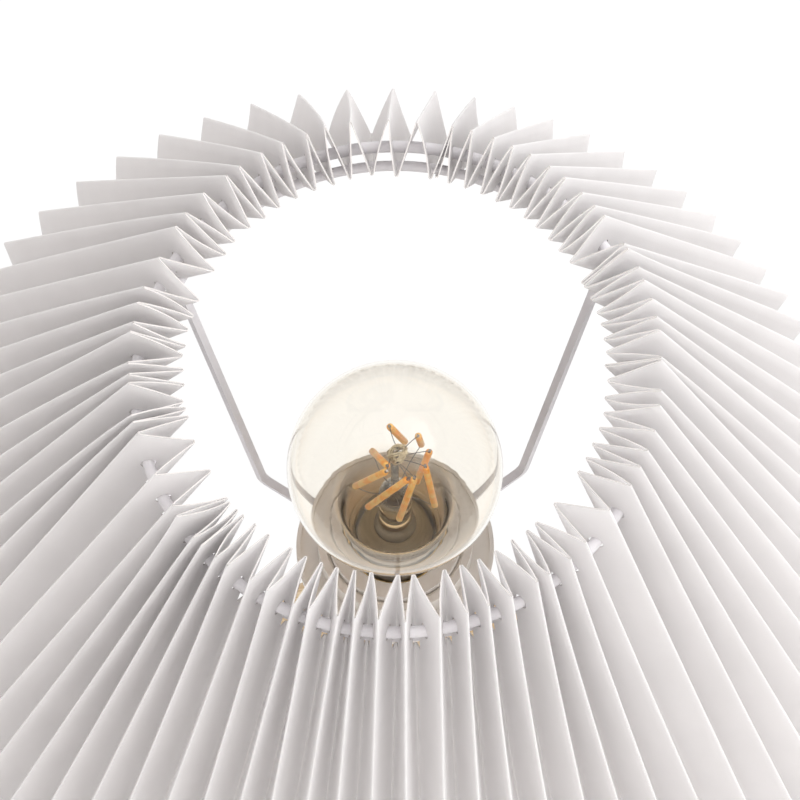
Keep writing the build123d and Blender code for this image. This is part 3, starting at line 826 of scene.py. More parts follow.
@dataclass
class PaperShade:
    """The pleated sheet, its folds spread unevenly on the rings as the real one's are.

    A share is how far down the sheet something is, from 0 at the tips to 1 at the rim. A tip knot is an inner
    fold's number and azimuth and a rim knot an outer fold's, and the folds between knots are spread evenly.
    """

    pleats: int = 72
    tip_radius: float = 0.0552
    tip_height: float = 0.3846
    ridge_top_height: float = 0.3896
    rim_radius: float = 0.1324
    rim_height: float = 0.2381
    ridge_rim_height: float = 0.2446
    panel_run_top: float = 0.01455
    panel_run_rim: float = 0.01378
    panel_width: float = 0.0155
    slant: float = 0.1645
    rim_shift: tuple[float, float] = (-0.0066, -0.0032)
    thickness: float = 0.0003
    hoop_radius: float = 0.0679
    hoop_height: float = 0.3744
    hole_radius: float = 0.00205
    hole_side: float = 0.0026
    notch_side: float = 0.0028
    fold_side: float = 0.00028
    fold_inset: float = 0.0001
    inner_fold_width: float = 0.0006
    outer_fold_width: float = 0.0003
    outer_column: float = 0.0125
    tip_knots: tuple[tuple[int, float], ...] = (
        (0, 1.5), (6, 25.2), (7, 26.5), (8, 33.2), (17, 74.6), (18, 80.0), (19, 89.3), (21, 101.9),
        (30, 149.0), (31, 158.7), (34, 172.4), (35, 175.2), (38, 188.3), (40, 192.9), (41, 200.1),
        (42, 209.6), (43, 218.6), (44, 220.0), (46, 225.2), (48, 233.9), (49, 241.0), (54, 263.6),
        (55, 270.8), (56, 274.8), (57, 283.1), (62, 307.8), (63, 311.1), (64, 318.6), (65, 329.7),
        (72, 361.5),
    )
    rim_knots: tuple[tuple[int, float], ...] = (
        (6, 28.7), (7, 32.1), (10, 45.4), (14, 63.2), (18, 82.5), (19, 87.1), (20, 92.9), (28, 139.0),
        (78, 388.7),
    )
    rim_bulge: float = 0.0105
    bulge_azimuth: float = 322.0
    bulge_spread: float = 32.0
    bulge_lift: float = 0.45
    tip_wander: float = 0.45
    rim_wander: float = 0.12
    tip_unevenness: float = 0.0004
    ridge_lean: float = 0.0005
    cut_wander: float = 0.18
    cut_depth: float = 0.003
    bow_top: float = 0.0003
    bow_rim: float = 0.0004
    bow_reach: float = 0.14
    rows: tuple[float, ...] = (
        0.0, 0.012, 0.035, 0.0696, 0.0775, 0.0854, 0.0933, 0.1012, 0.1208, 0.1454, 0.19, 0.25, 0.33,
        0.42, 0.52, 0.62, 0.72, 0.82, 0.91, 1.0,
    )
    first_crossing: tuple[float, float] = (0.45, 0.085)
    hole_first: int = 3
    hole_cells: int = 4
    notch_row: int = 8
    seam_panel: int = 35
    seam_azimuth: float = 78.8
    seam_reach: float = 0.0006
    seam_lap: float = 0.03
    seam_gap: float = 0.00045
    seam_gap_at_tip: float = 0.2
    seam_fade: int = 3
    smooth_angle: float = 60.0
    seed: int = 7

    def __post_init__(self) -> None:
        """Works out the folds' azimuths and each panel's bow."""
        draw = random.Random(self.seed)
        self.panel_count = 2 * self.pleats
        indexes, azimuths = zip(*self.tip_knots)
        self.tip_azimuths = []
        for index in range(self.pleats):
            wander = 0.0 if index in indexes else draw.uniform(-self.tip_wander, self.tip_wander)
            self.tip_azimuths.append(float(np.interp(index, indexes, azimuths)) + wander)
        indexes, azimuths = zip(*self.rim_knots)
        self.rim_azimuths = []
        for index in range(self.pleats):
            between = index - 0.5
            turn = 1 if between < indexes[0] else 0
            azimuth = float(np.interp(between + turn * self.pleats, indexes, azimuths))
            wander = draw.uniform(-self.rim_wander, self.rim_wander)
            self.rim_azimuths.append(azimuth - 360 * turn + wander)
        uneven, lean, cut = self.tip_unevenness, self.ridge_lean, self.cut_wander
        self.tip_reaches = [draw.uniform(-uneven, uneven) for _ in range(self.pleats)]
        self.leans = [draw.uniform(-lean, lean) for _ in range(self.pleats)]
        self.cuts = [draw.uniform(-cut, cut) * self.cut_depth for _ in range(self.panel_count)]
        self.panels = []
        for number in range(self.panel_count):
            rises = number % 2 == 0
            outer = number // 2
            inner = outer if rises else (outer + 1) % self.pleats
            bows = draw.gauss(0.0, self.bow_top), draw.gauss(0.0, self.bow_rim)
            self.panels.append(Panel(number, inner, outer, rises, *bows))

    def valley(self, index: int, share: float) -> Vector:
        """A point on an inner fold.

        Args:
            index: Which fold.
            share: How far down it is.

        Returns:
            The point.
        """
        index %= self.pleats
        top = polar(self.tip_radius + self.tip_reaches[index], self.tip_azimuths[index], self.tip_height)
        azimuth = self.rim_azimuths[index]
        off = (azimuth - self.bulge_azimuth + 180) % 360 - 180
        bulge = self.rim_bulge * exp(-((off / self.bulge_spread) ** 2))
        rim = polar(self.rim_radius + bulge, azimuth, self.rim_height + self.bulge_lift * bulge)
        return top.lerp(rim + Vector((*self.rim_shift, 0.0)), share)

    def ridge(self, index: int, share: float) -> Vector:
        """A point on an outer fold, a panel's width out from the inner folds beside it.

        Args:
            index: Which fold.
            share: How far down it is.

        Returns:
            The point.
        """
        first, second = self.valley(index, share), self.valley(index + 1, share)
        chord = second - first
        half = hypot(chord.x, chord.y) / 2
        run = self.panel_run_top + share * (self.panel_run_rim - self.panel_run_top)
        outwards = Vector((chord.y, -chord.x, 0.0)).normalized()
        lean = chord.normalized() * self.leans[index % self.pleats] * (1 - share)
        point = (first + second) / 2 + outwards * sqrt(run**2 - half**2) + lean
        lift = point.z - (self.tip_height + share * (self.rim_height - self.tip_height))
        point.z = self.ridge_top_height + share * (self.ridge_rim_height - self.ridge_top_height) + lift
        return point

    def point(self, panel: Panel, across: float, share: float) -> Vector:
        """A point on a panel.

        Args:
            panel: The panel.
            across: From 0 at the inner fold to 1 at the outer fold.
            share: How far down it is.

        Returns:
            The point, with the panel's bow.
        """
        inner, outer = self.valley(panel.inner, share), self.ridge(panel.outer, share)
        run = outer - inner if panel.rises else inner - outer
        normal = Vector((run.y, -run.x, 0.0)).normalized()
        bow = panel.bow_top * exp(-share / self.bow_reach) + panel.bow_rim * share**2
        apart = (self.inner_fold_width * (1 - across) - self.outer_fold_width * across) / 2
        round_axis = Vector((-inner.y, inner.x, 0.0)).normalized() * (1 if panel.rises else -1)
        return inner.lerp(outer, across) + normal * bow * 4 * across * (1 - across) + round_axis * apart

    def crossing(self, panel: Panel, rounds: int = 8) -> tuple[float, float]:
        """Where the hoop goes through a panel, found step by step from a first guess.

        Args:
            panel: The panel.
            rounds: How many steps are taken.

        Returns:
            How far across and how far down.
        """
        across, share = self.first_crossing
        for _ in range(rounds):
            here = self.point(panel, across, share)
            share += (here.z - self.hoop_height) / (self.ridge_top_height - self.ridge_rim_height)
            here = self.point(panel, across, share)
            across += (self.hoop_radius - hypot(here.x, here.y)) / self.panel_run_top
        return across, share

    def columns(self, panel: Panel, crossing: float) -> list[float]:
        """How far across its columns of points stand, in the order of the strip.

        Args:
            panel: The panel.
            crossing: How far across the hoop's hole is.

        Returns:
            Shares of the panel's width.
        """
        middle, half = crossing * self.panel_width, self.hole_cells // 2
        places = [self.fold_side, self.notch_side]
        places += [middle + step * self.hole_side / half for step in range(-half, half + 1)]
        places += [self.outer_column, self.panel_width - self.fold_side]
        across = [place / self.panel_width for place in places]
        return across if panel.rises else across[::-1]

    def build(self) -> Piece:
        """Makes the folded sheet with its holes and notches, and the lapped end at the seam.

        Returns:
            The sheet, a single layer of faces without thickness.
        """
        self.points: list[Vector] = []
        self.spots: list[tuple[float, float]] = []
        self.faces: list[list[int]] = []
        folds = [self.fold_line(number) for number in range(self.panel_count)]
        for panel in self.panels:
            self.add_panel(panel, folds[panel.number], folds[(panel.number + 1) % len(folds)])
        self.add_seam(self.panels[self.seam_panel])
        mesh = bpy.data.meshes.new("pleated_paper")
        mesh.from_pydata([tuple(point) for point in self.points], [], self.faces)
        self.lay_out(mesh)
        piece = bpy.data.objects.new("pleated_paper", mesh)
        bpy.context.scene.collection.objects.link(piece)
        return piece

    def add_point(self, point: Vector, along: float, share: float) -> int:
        """Adds a point of the sheet.

        Args:
            point: Where it is.
            along: How many panels along the flat strip it is.
            share: How far down it is.

        Returns:
            The point's number.
        """
        self.points.append(point)
        self.spots.append((along / self.panel_count, share))
        return len(self.points) - 1

    def add_panel_point(self, panel: Panel, across: float, share: float, aside: Vector) -> int:
        """Adds a point on a panel that is moved aside.

        Args:
            panel: The panel.
            across: From 0 at the inner fold to 1 at the outer fold.
            share: How far down it is.
            aside: How far the whole panel is moved.

        Returns:
            The point's number.
        """
        along = panel.number + (across if panel.rises else 1 - across)
        return self.add_point(self.point(panel, across, share) + aside, along, share)

    def fold_line(self, number: int) -> list[int]:
        """Adds the points along a fold, set in a little so that the fold is round.

        Args:
            number: The fold's number; even ones are inner folds.

        Returns:
            The numbers of its points, from the top.
        """
        line = []
        index = number // 2
        for row, share in enumerate(self.rows):
            if number % 2 == 0:
                here = self.valley(index, share)
                beside = (self.ridge(index - 1, share) + self.ridge(index, share)) / 2
            else:
                here = self.ridge(index, share)
                beside = (self.valley(index, share) + self.valley(index + 1, share)) / 2
            inset = (beside - here).normalized() * self.fold_inset
            if row == 0:
                inset.z += self.cuts[number]
            line.append(self.add_point(here + inset, number, share))
        return line

    def add_panel(self, panel: Panel, start: list[int], end: list[int], shift: Vector | None = None) -> None:
        """Adds a panel's points and faces between two folds.

        Args:
            panel: The panel.
            start: The points of the fold it starts at.
            end: The points of the fold it ends at.
            shift: How far the whole panel is moved aside.
        """
        aside = shift or Vector((0.0, 0.0, 0.0))
        crossing, level = self.crossing(panel)
        columns = self.columns(panel, crossing)
        first, last = self.hole_first, self.hole_first + self.hole_cells
        inside, around, hole = range(first + 1, last), range(first, last + 1), range(first, last)
        drop = level - self.rows[(first + last) // 2]
        grid = []
        for row, share in enumerate(self.rows):
            line = [start[row]]
            for column, across in enumerate(columns, start=1):
                if row in inside and column in inside:
                    line.append(-1)
                    continue
                down = share + drop if row in around and column in around else share
                line.append(self.add_panel_point(panel, across, down, aside))
            grid.append(line + [end[row]])
        notch = (0, 1) if panel.rises else (len(columns) - 1, len(columns))
        for row in range(len(self.rows) - 1):
            for column in range(len(columns) + 1):
                holed = row in hole and column in hole
                notched = row == self.notch_row and column in notch
                if not holed and not notched:
                    corners = [grid[row][column], grid[row + 1][column]]
                    self.faces.append(corners + [grid[row + 1][column + 1], grid[row][column + 1]])
        self.add_hole(panel, grid, (crossing, level), aside)

    def add_hole(
        self, panel: Panel, grid: list[list[int]], centre: tuple[float, float], aside: Vector
    ) -> None:
        """Closes a panel round the hoop's hole.

        Args:
            panel: The panel.
            grid: The panel's points by row and column.
            centre: How far across and down the hole's centre is.
            aside: How far the whole panel is moved aside.
        """
        low, high = self.hole_first, self.hole_first + self.hole_cells
        border = [(low, column) for column in range(low, high)]
        border += [(row, high) for row in range(low, high)]
        border += [(high, column) for column in range(high, low, -1)]
        border += [(row, low) for row in range(high, low, -1)]
        middle = (low + high) / 2
        circle = []
        for row, column in border:
            angle = atan2(row - middle, (column - middle) * (1 if panel.rises else -1))
            across = centre[0] + self.hole_radius * cos(angle) / self.panel_width
            share = centre[1] + self.hole_radius * sin(angle) / self.slant
            circle.append(self.add_panel_point(panel, across, share, aside))
        for step, (row, column) in enumerate(border):
            after = (step + 1) % len(border)
            next_row, next_column = border[after]
            self.faces.append([grid[row][column], circle[step], circle[after], grid[next_row][next_column]])

    def add_seam(self, panel: Panel) -> None:
        """Adds the sheet's far end, lapped inside a panel and not quite level with its tip.

        Args:
            panel: The panel that it is glued to.
        """
        halfway = 0.5
        run = self.ridge(panel.outer, halfway) - self.valley(panel.inner, halfway)
        shift = Vector((run.y, -run.x, 0.0)).normalized() * self.seam_gap
        lapped_tip = polar(self.tip_radius + self.seam_reach, self.seam_azimuth, self.tip_height)
        gap = lapped_tip - self.valley(panel.inner, 0.0)
        start, end = [], []
        for share in self.rows:
            valley = self.valley(panel.inner, share)
            ridge = self.ridge(panel.outer, share).lerp(valley, self.seam_lap)
            start.append(self.add_point(ridge + shift, panel.number, share))
            aside = self.seam_gap_at_tip + (1 - self.seam_gap_at_tip) * share
            valley += gap * (1 - share) ** self.seam_fade + shift * aside
            end.append(self.add_point(valley, panel.number + 1, share))
        before = len(self.points)
        self.add_panel(panel, start, end, shift)
        for number in range(before, len(self.points)):
            along, share = self.spots[number]
            towards_tip = along * self.panel_count - panel.number
            self.points[number] += gap * (1 - share) ** self.seam_fade * towards_tip

    def lay_out(self, mesh: bpy.types.Mesh) -> None:
        """Writes the flat sheet's layout, which the painted shade and highlight at the folds follow.

        Args:
            mesh: The sheet's mesh.
        """
        layer = mesh.uv_layers.new(name="sheet")
        for face in mesh.polygons:
            spots = [self.spots[mesh.loops[corner].vertex_index] for corner in face.loop_indices]
            widest = max(along for along, _ in spots)
            for corner, (along, share) in zip(face.loop_indices, spots):
                wrapped = along + 1.0 if widest - along > 0.5 else along
                layer.data[corner].uv = (wrapped, 1.0 - share)

    def finish(self, piece: Piece) -> None:
        """Gives the sheet its thickness, its paper and a painted shade on its cut edges, and hangs it on its
        rings.

        Args:
            piece: The folded sheet.
        """
        # painted shade: the cut edges face up and catch the most light, so they get a darker copy of the
        # paper's white
        edge = Mottled(
            "paper_edge_painted_shade", written(214, 211, 209), written(204, 201, 198), patch=0.006, grain=0.0005,
            smooth=0.7, rough=0.85,
        )
        dress(piece, ShadePaper("shade_paper").make(), edge.make())
        Bench.pick(piece)
        Bench.open_all()
        bpy.ops.mesh.normals_make_consistent(inside=False)
        bpy.ops.object.mode_set(mode="OBJECT")
        thick = piece.modifiers.new("thickness", "SOLIDIFY")
        thick.thickness = self.thickness
        thick.offset = 0.0
        thick.material_offset_rim = 1
        bpy.ops.object.modifier_apply(modifier=thick.name)
        bpy.ops.object.shade_smooth_by_angle(angle=radians(self.smooth_angle))
        place_on(piece, "shade", "paper", "paper_shade")


# ================================================================ bulb
@dataclass
class Bulb:
    """The filament-style bulb: tinted globe, glass stem, light sticks on their wires, and screw cap."""

    globe_radius: float = 0.030
    globe_centre: float = 0.3065
    wall: float = 0.0007
    joint_angle: float = 50.0
    joint_lean: float = 0.0204
    neck_radius: float = 0.0124
    neck_low: float = 0.2485
    neck_high: float = 0.2515
    neck_dip: float = 0.0003
    flare_radius: float = 0.0142
    flare_height: float = 0.2605
    flare_lean: tuple[float, float] = (0.0056, 0.0176)
    outline_steps: tuple[int, int, int] = (4, 12, 40)
    steps: int = 96
    smooth_angle: float = 50.0
    stem_low: float = 0.2535
    stem_flare_radius: float = 0.0114
    stem_lip: float = 0.0006
    stem_flare_rise: float = 0.0115
    stem_flare_power: float = 1.6
    stem_straight: float = 0.018
    stem_radius: float = 0.0046
    stem_top: float = 0.2905
    stem_pinch: tuple[tuple[float, float], ...] = ((1.08, 0.009), (0.92, 0.004), (0.55, 0.0012))
    stem_steps: int = 40
    rod_radius: float = 0.0011
    rod_root: tuple[float, float] = (1.2, 0.0012)
    rod_top: float = 0.3172
    bead_core: float = 0.8
    bead_radius: float = 0.0007
    bead_reach: float = 0.0016
    bead_height: float = 0.0017
    bead_drop: float = 0.0018
    stick_radius: float = 0.00098
    stick_length: float = 0.0228
    stick_sides: int = 14
    stick_round: float = 0.3
    stick_shoulder: float = 0.25
    stick_tab: float = 0.0011
    tab_share: float = 0.7
    low_height: float = 0.3005
    high_height: float = 0.3215
    wire_radius: float = 0.00012
    foot_radius: float = 1.9
    foot_drop: float = 0.0035
    knee_turn: float = 8.0
    knee_share: float = 0.55
    knee_rise: float = 0.0005
    knee_slack: float = 0.25
    head_radius: float = 0.9
    head_drop: float = 0.0003
    curl_turn: float = 70.0
    curl_radius: float = 1.6
    curl_rise: float = 0.0012
    bend_share: float = 0.5
    bend_rise: float = 0.0034
    tangle_middle: tuple[float, float, float] = (0.0009, -0.0005, 0.3199)
    tangle_size: tuple[float, float, float] = (0.0034, 0.0034, 0.0026)
    tangle_loops: int = 12
    tangle_points: int = 15
    points_a_turn: int = 9
    tangle_reach: tuple[float, float] = (0.55, 1.0)
    tangle_radius: float = 0.00018
    tangle_seed: int = 3
    cap_radius: float = 0.0130
    cap_bore: float = 0.0119
    cap_rim: float = 0.0138
    cap_low: float = 0.2305
    cap_mouth: float = 0.0035
    cap_steps: int = 60
    cap_pitch: float = 0.003629
    thread_depth: float = 0.0010
    thread_root: float = 0.0004
    thread_skin: float = 0.0003
    thread_fade: float = 0.5
    thread_rows: int = 44
    thread_above: float = 0.0022
    thread_below: float = 0.0028
    sticks: tuple[tuple[float, float, float, float], ...] = (
        (196.5, 11.5, 247.0, 6.7),
        (231.0, 12.2, 293.0, 9.0),
        (276.0, 12.6, 300.6, 10.0),
        (322.0, 13.9, 327.7, 10.0),
        (345.0, 6.4, 355.0, 9.3),
        (51.0, 11.7, 32.0, 7.6),
        (75.0, 10.3, 100.0, 6.8),
        (131.7, 9.6, 245.0, 4.9),
    )

    def outline(self, inset: float) -> Outline:
        """The glass's half outline from the neck up to its top.

        Args:
            inset: How far inside the outer skin it lies.

        Returns:
            Radius and height of each point.
        """
        radius = self.globe_radius - inset
        joint = radians(self.joint_angle)
        low = Vector((self.neck_radius - inset, self.neck_high))
        flare = Vector((self.flare_radius - inset, self.flare_height))
        end = Vector((radius * cos(joint), self.globe_centre - radius * sin(joint)))
        leaving = Vector(self.flare_lean)
        arriving = Vector((sin(joint), cos(joint))) * self.joint_lean
        neck_steps, bend_steps, globe_steps = self.outline_steps
        points = [(self.neck_radius - inset, self.neck_low)]
        for share in shares(neck_steps):
            points.append(tuple(low.lerp(flare, share) - Vector((self.neck_dip * sin(pi * share), 0.0))))
        for share in shares(bend_steps)[1:-1]:
            square, cube = share**2, share**3
            bend = (2 * cube - 3 * square + 1) * flare + (cube - 2 * square + share) * leaving
            bend += (3 * square - 2 * cube) * end + (cube - square) * arriving
            points.append(tuple(bend))
        for share in shares(globe_steps):
            angle = share * (pi / 2 + joint) - joint
            points.append((radius * cos(angle), self.globe_centre + radius * sin(angle)))
        points[-1] = (0.0, self.globe_centre + radius)
        return points

    def build_glass(self) -> None:
        """Spins the globe with its real wall, closed at the neck."""
        skin = Bench.lathe("bulb_globe", self.outline(0.0), self.steps)
        cavity = Bench.lathe("bulb_globe_inside", self.outline(self.wall), self.steps)
        Bench.open_all()
        bpy.ops.mesh.flip_normals()
        piece = Bench.joined([skin, cavity], "bulb_globe")
        bpy.ops.object.mode_set(mode="EDIT")
        bpy.ops.mesh.select_all(action="DESELECT")
        bpy.ops.mesh.select_non_manifold()
        bpy.ops.mesh.bridge_edge_loops()
        bpy.ops.object.mode_set(mode="OBJECT")
        bpy.ops.object.shade_smooth_by_angle(angle=radians(self.smooth_angle))
        tint = BlownGlass(
            "amber_glass", high=(0.997, 0.977, 0.934, 1), low=(0.84, 0.64, 0.40, 1),
            cast=(0.94, 0.80, 0.58, 1),
        )
        dress(piece, tint.make())
        place_on(piece, "bulb", "amber_glass", "bulb_glass")

    def build_stem(self) -> None:
        """Spins the flare, the stem, its pinched top and the rod above it."""
        base, top = self.stem_low, self.stem_top
        flare, stem, rod = self.stem_flare_radius, self.stem_radius, self.rod_radius
        lip, (root_width, root_height) = base + self.stem_lip, self.rod_root
        outline = [(0.0, base), (flare, base), (flare, lip)]
        for share in shares(8)[1:]:
            narrowed = flare + (stem - flare) * sin(share * pi / 2)
            outline.append((narrowed, lip + self.stem_flare_rise * share**self.stem_flare_power))
        outline.append((stem, base + self.stem_straight))
        outline += [(stem * width, top - drop) for width, drop in self.stem_pinch]
        outline += [(rod * root_width, top), (rod, top + root_height), (rod, self.rod_top - self.bead_drop)]
        for share in shares(10)[1:-1]:
            angle = share * pi - pi / 2
            radius = rod * self.bead_core + self.bead_radius * cos(angle)
            outline.append((radius, self.rod_top + self.bead_reach * sin(angle)))
        outline.append((0.0, self.rod_top + self.bead_height))
        piece = Bench.lathe("bulb_stem_glass", outline, self.stem_steps)
        dress(piece, BlownGlass("stem_glass", high=(0.97, 0.96, 0.93, 1), low=(0.94, 0.88, 0.78, 1)).make())
        place_on(piece, "bulb", "clear_glass", "bulb_stem")

    def model_stick(self) -> Piece:
        """Models one light stick along Z, about the origin, with its two metal end tabs.

        Returns:
            The stick; its tabs are in the second material.
        """
        Bench.clear()
        bpy.ops.mesh.primitive_cylinder_add(
            vertices=self.stick_sides, radius=self.stick_radius, depth=self.stick_length
        )
        piece = Bench.named("stick_model")
        dress(piece, Phosphor("phosphor_coat").make(), self.wire_finish)
        bpy.ops.object.mode_set(mode="EDIT")
        bpy.ops.mesh.select_mode(type="FACE")
        round_off = self.stick_radius * self.stick_round
        shoulder = self.stick_radius * self.stick_shoulder
        for side in (-1, 1):
            self.select_end(piece, side)
            bpy.ops.mesh.inset(thickness=round_off, depth=round_off)
            bpy.ops.mesh.inset(thickness=shoulder, depth=0.0)
            step = (0.0, 0.0, side * self.stick_tab)
            piece.active_material_index = 1
            bpy.ops.mesh.extrude_region_move(TRANSFORM_OT_translate={"value": step})
            bpy.ops.mesh.select_more()
            bpy.ops.object.material_slot_assign()
        bpy.ops.mesh.select_all(action="DESELECT")
        bpy.ops.object.mode_set(mode="OBJECT")
        Bench.settle(piece, self.smooth_angle)
        return piece

    @staticmethod
    def select_end(piece: Piece, side: int) -> None:
        """Selects the face at one end of a piece that lies along Z.

        Args:
            piece: The piece, in edit mode.
            side: 1 for the upper end, -1 for the lower one.
        """
        bpy.ops.mesh.select_all(action="DESELECT")
        bpy.ops.object.mode_set(mode="OBJECT")
        max(piece.data.polygons, key=lambda face: side * face.center.z).select = True
        bpy.ops.object.mode_set(mode="EDIT")

    def build_sticks(self) -> None:
        """Copies the light stick to its eight places, and adds the wires that hold them."""
        self.wire_finish = Mottled(
            "support_wire", (0.30, 0.27, 0.24, 1), (0.20, 0.18, 0.17, 1), patch=0.002, grain=0.0004,
            smooth=0.3, rough=0.45, metal=1.0,
        ).make()
        model = self.model_stick()
        wires = []
        for number, row in enumerate(self.sticks, start=1):
            low = self.spot(*row[:2], self.low_height)
            high = self.spot(*row[2:], self.high_height)
            middle, along = (low + high) / 2, (high - low).normalized()
            place = Matrix.Translation(middle) @ along.to_track_quat("Z", "Y").to_matrix().to_4x4()
            stick = Bench.moved_copy(model, f"light_stick_{number}", place)
            place_on(stick, "bulb", "filament", "bulb_filaments")
            reach = (self.stick_length / 2 + self.stick_tab * self.tab_share) * along
            wires += self.support_wires(row, middle - reach, middle + reach)
        bpy.data.objects.remove(model)
        plain = Bench.joined(wires, "stick_wires")
        dress(plain, self.wire_finish)
        tangle = Bench.joined(self.build_tangle(), "wire_tangle")
        dress(tangle, Mottled(
            "bright_wire", (0.74, 0.66, 0.48, 1), (0.50, 0.42, 0.28, 1), patch=0.0015, grain=0.0004,
            smooth=0.35, rough=0.55, metal=0.3,
        ).make())
        place_on(Bench.joined([plain, tangle], "stick_wires"), "bulb", "dark_wire", "bulb_support_wires")

    def support_wires(self, row: Sequence[float], low_end: Vector, high_end: Vector) -> list[Piece]:
        """Bends the two thin wires that hold a light stick.

        Args:
            row: The stick's row in the table.
            low_end: Where the wire from the stem holds it.
            high_end: Where the wire from the rod's top holds it.

        Returns:
            The lower wire and the upper one.
        """
        low_azimuth, low_radius, high_azimuth, high_radius = row
        stem, rod = self.stem_top, self.rod_top
        foot = self.spot(low_azimuth, self.foot_radius, stem - self.foot_drop)
        knee = self.spot(low_azimuth + self.knee_turn, low_radius * self.knee_share, stem + self.knee_rise)
        head = self.spot(high_azimuth + 180, self.head_radius, rod - self.head_drop)
        curl = self.spot(high_azimuth - self.curl_turn, self.curl_radius, rod + self.curl_rise)
        bend = self.spot(high_azimuth, high_radius * self.bend_share, rod + self.bend_rise)
        lower = [foot, knee, low_end.lerp(knee, self.knee_slack), low_end]
        return [Bench.wire(line, self.wire_radius) for line in (lower, [head, curl, bend, high_end])]

    def build_tangle(self) -> list[Piece]:
        """Winds the loose loops of thin wire about the rod's top, where the sticks' upper ends meet.

        Returns:
            The loops, one piece each.
        """
        draw = random.Random(self.tangle_seed)
        middle, size = Vector(self.tangle_middle), Vector(self.tangle_size)
        loops = []
        for _ in range(self.tangle_loops):
            axis = Vector((draw.gauss(0, 1), draw.gauss(0, 1), draw.gauss(0, 1))).normalized()
            first = axis.orthogonal().normalized()
            second = axis.cross(first)
            points = []
            for step in range(self.tangle_points):
                angle = 2 * pi * step / self.points_a_turn
                point = (first * cos(angle) + second * sin(angle)) * draw.uniform(*self.tangle_reach)
                points.append(middle + point * size)
            loops.append(Bench.wire(points, self.tangle_radius))
        return loops

    @staticmethod
    def spot(azimuth: float, radius: float, height: float) -> Vector:
        """A point about the bulb's axis, its radius in millimetres as in the sticks' table."""
        return polar(radius / 1000, azimuth, height)

    def build_cap(self) -> None:
        """Spins the thin metal cap and rolls the screw thread into it."""
        low, high = self.cap_low, self.neck_high
        bore, skin, rim = self.cap_bore, self.cap_radius, self.cap_rim
        thread_low, thread_high = low + self.thread_above, high - self.thread_below
        mouth = (bore - self.cap_mouth, low)
        outline = [mouth, (bore - 0.0008, low + 0.0003), (skin - 0.0006, low + 0.0014)]
        for share in shares(self.thread_rows):
            outline.append((skin - self.thread_root, thread_low + (thread_high - thread_low) * share))
        outline += [(skin, high - 0.0022), (rim, high - 0.0008), (rim, high - 0.0002), (rim - 0.0003, high)]
        outline += [(bore + 0.0005, high), (bore, self.neck_low), (bore - 0.0006, low + 0.002), mouth]
        piece = Bench.lathe("bulb_screw_cap", outline, self.cap_steps)
        for vertex in piece.data.vertices:
            place = vertex.co
            radius = hypot(place.x, place.y)
            if thread_low <= place.z <= thread_high and radius > bore + self.thread_skin:
                turns = (place.z - thread_low) / self.cap_pitch - atan2(place.y, place.x) / (2 * pi)
                edge = min(place.z - thread_low, thread_high - place.z) / (self.thread_fade * self.cap_pitch)
                wave = cos(2 * pi * turns) * min(1.0, edge) * self.thread_depth / 2
                scale = (radius - self.thread_depth / 3 + wave) / radius
                place.x, place.y = place.x * scale, place.y * scale
        dress(piece, Mottled(
            "nickel_cap", (0.82, 0.80, 0.76, 1), (0.74, 0.72, 0.68, 1), patch=0.004, grain=0.0005,
            metal=0.5,
        ).make())
        place_on(piece, "bulb", "cap_metal", "bulb_cap")


# ================================================================ studio
@dataclass(frozen=True)
class SoftLight:
    """A soft square light: its side in metres, its power in watts."""

    name: str
    place: tuple[float, float, float]
    side: float
    power: float
    tint: Paint

    def hang(self, target: Vector) -> None:
        """Hangs the light, aimed at a point and unseen itself.

        Args:
            target: The point that it is aimed at.
        """
        data = bpy.data.lights.new(self.name, "AREA")
        data.size = self.side
        data.energy = self.power
        data.color = self.tint
        light = bpy.data.objects.new(self.name, data)
        light.location = self.place
        light.rotation_euler = (target - Vector(self.place)).to_track_quat("-Z", "Y").to_euler()
        light.visible_camera = False
        light.visible_glossy = False
        bpy.context.scene.collection.objects.link(light)


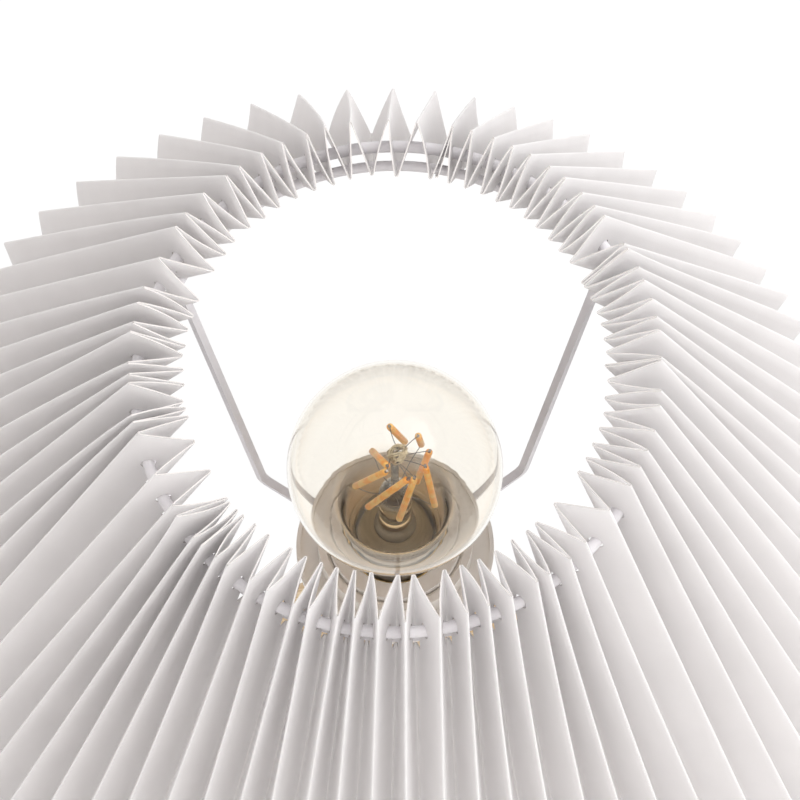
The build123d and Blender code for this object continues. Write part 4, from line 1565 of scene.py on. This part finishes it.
@dataclass
class Studio:
    """Camera, floor and lights."""

    eye: tuple[float, float, float] = (0.0, -0.41042, 1.51223)
    aim: tuple[float, float, float] = (0.0014, -0.00696, 0.38206)
    lens: float = 207.0
    sensor: float = 36.0
    sees_to: float = 100.0
    floor_size: float = 60.0
    lit_point: tuple[float, float, float] = (0.0, 0.0, 0.3)
    lights: tuple[SoftLight, ...] = (
        SoftLight("key", (2.1, 0.3, 2.1), 3.0, 36.0, (0.97, 0.99, 1.0)),
        SoftLight("front", (0.5, -2.2, 1.9), 2.4, 14.0, (1.0, 0.985, 0.965)),
        SoftLight("top", (1.0, 0.4, 2.7), 2.8, 34.0, (0.99, 0.99, 1.0)),
    )
    sky: float = 0.86
    sky_tint: Paint = (1.0, 0.958, 0.928, 1)
    bounces: int = 8

    def set_camera(self) -> None:
        """Puts the camera where the photograph was taken from."""
        data = bpy.data.cameras.new("camera")
        data.lens = self.lens
        data.sensor_width = self.sensor
        data.clip_end = self.sees_to
        camera = bpy.data.objects.new("camera", data)
        camera.location = self.eye
        look = Vector(self.aim) - Vector(self.eye)
        camera.rotation_euler = look.to_track_quat("-Z", "Y").to_euler()
        bpy.context.scene.collection.objects.link(camera)
        bpy.context.scene.camera = camera

    def lay_floor(self) -> None:
        """Lays the pale floor."""
        Bench.clear()
        bpy.ops.mesh.primitive_plane_add(size=self.floor_size)
        floor = Bench.named("studio_floor")
        dress(floor, StudioWhite("studio_white").make())

    def set_lights(self) -> None:
        """Hangs the soft lights and makes the sky white where it is seen and tinted where it lights."""
        for light in self.lights:
            light.hang(Vector(self.lit_point))
        world = bpy.data.worlds.new("studio_sky")
        world.use_nodes = True
        scene = bpy.context.scene
        scene.world = world
        recipe = Recipe(world.node_tree)
        seen = recipe.looked_at()
        tint = recipe.blend(seen, self.sky_tint, WHITE)
        sky = recipe.shader("Background", {"Color": tint, "Strength": seen * (1.0 - self.sky) + self.sky})
        recipe.node("OutputWorld", {"Surface": sky})
        scene.view_settings.view_transform = "Standard"
        scene.cycles.diffuse_bounces = scene.cycles.glossy_bounces = self.bounces


def dress_nodes() -> None:
    """Gives every CAD node that stays the finish of its slot."""
    materials = {slot: finish.make() for slot, finish in node_finishes().items()}
    upright = OiledOak("oak_upright", grain=Grain.UPRIGHT).make()
    for row in frame["record"]["subparts"]:
        name, slot = row["node"], row["material_slot"]
        if slot in materials:
            dress(frame["nodes"][name], upright if name == "wooden_column" else materials[slot])


def main() -> None:
    """Builds the lamp's looks in order."""
    logging.basicConfig(level=logging.INFO, format="%(name)s: %(message)s", stream=sys.stdout)
    studio = Studio()
    studio.set_camera()
    studio.lay_floor()
    studio.set_lights()
    dress_nodes()
    shade = PaperShade()
    shade.finish(shade.build())
    bulb = Bulb()
    bulb.build_glass()
    bulb.build_stem()
    bulb.build_sticks()
    bulb.build_cap()


if __name__ == "__main__":
    main()
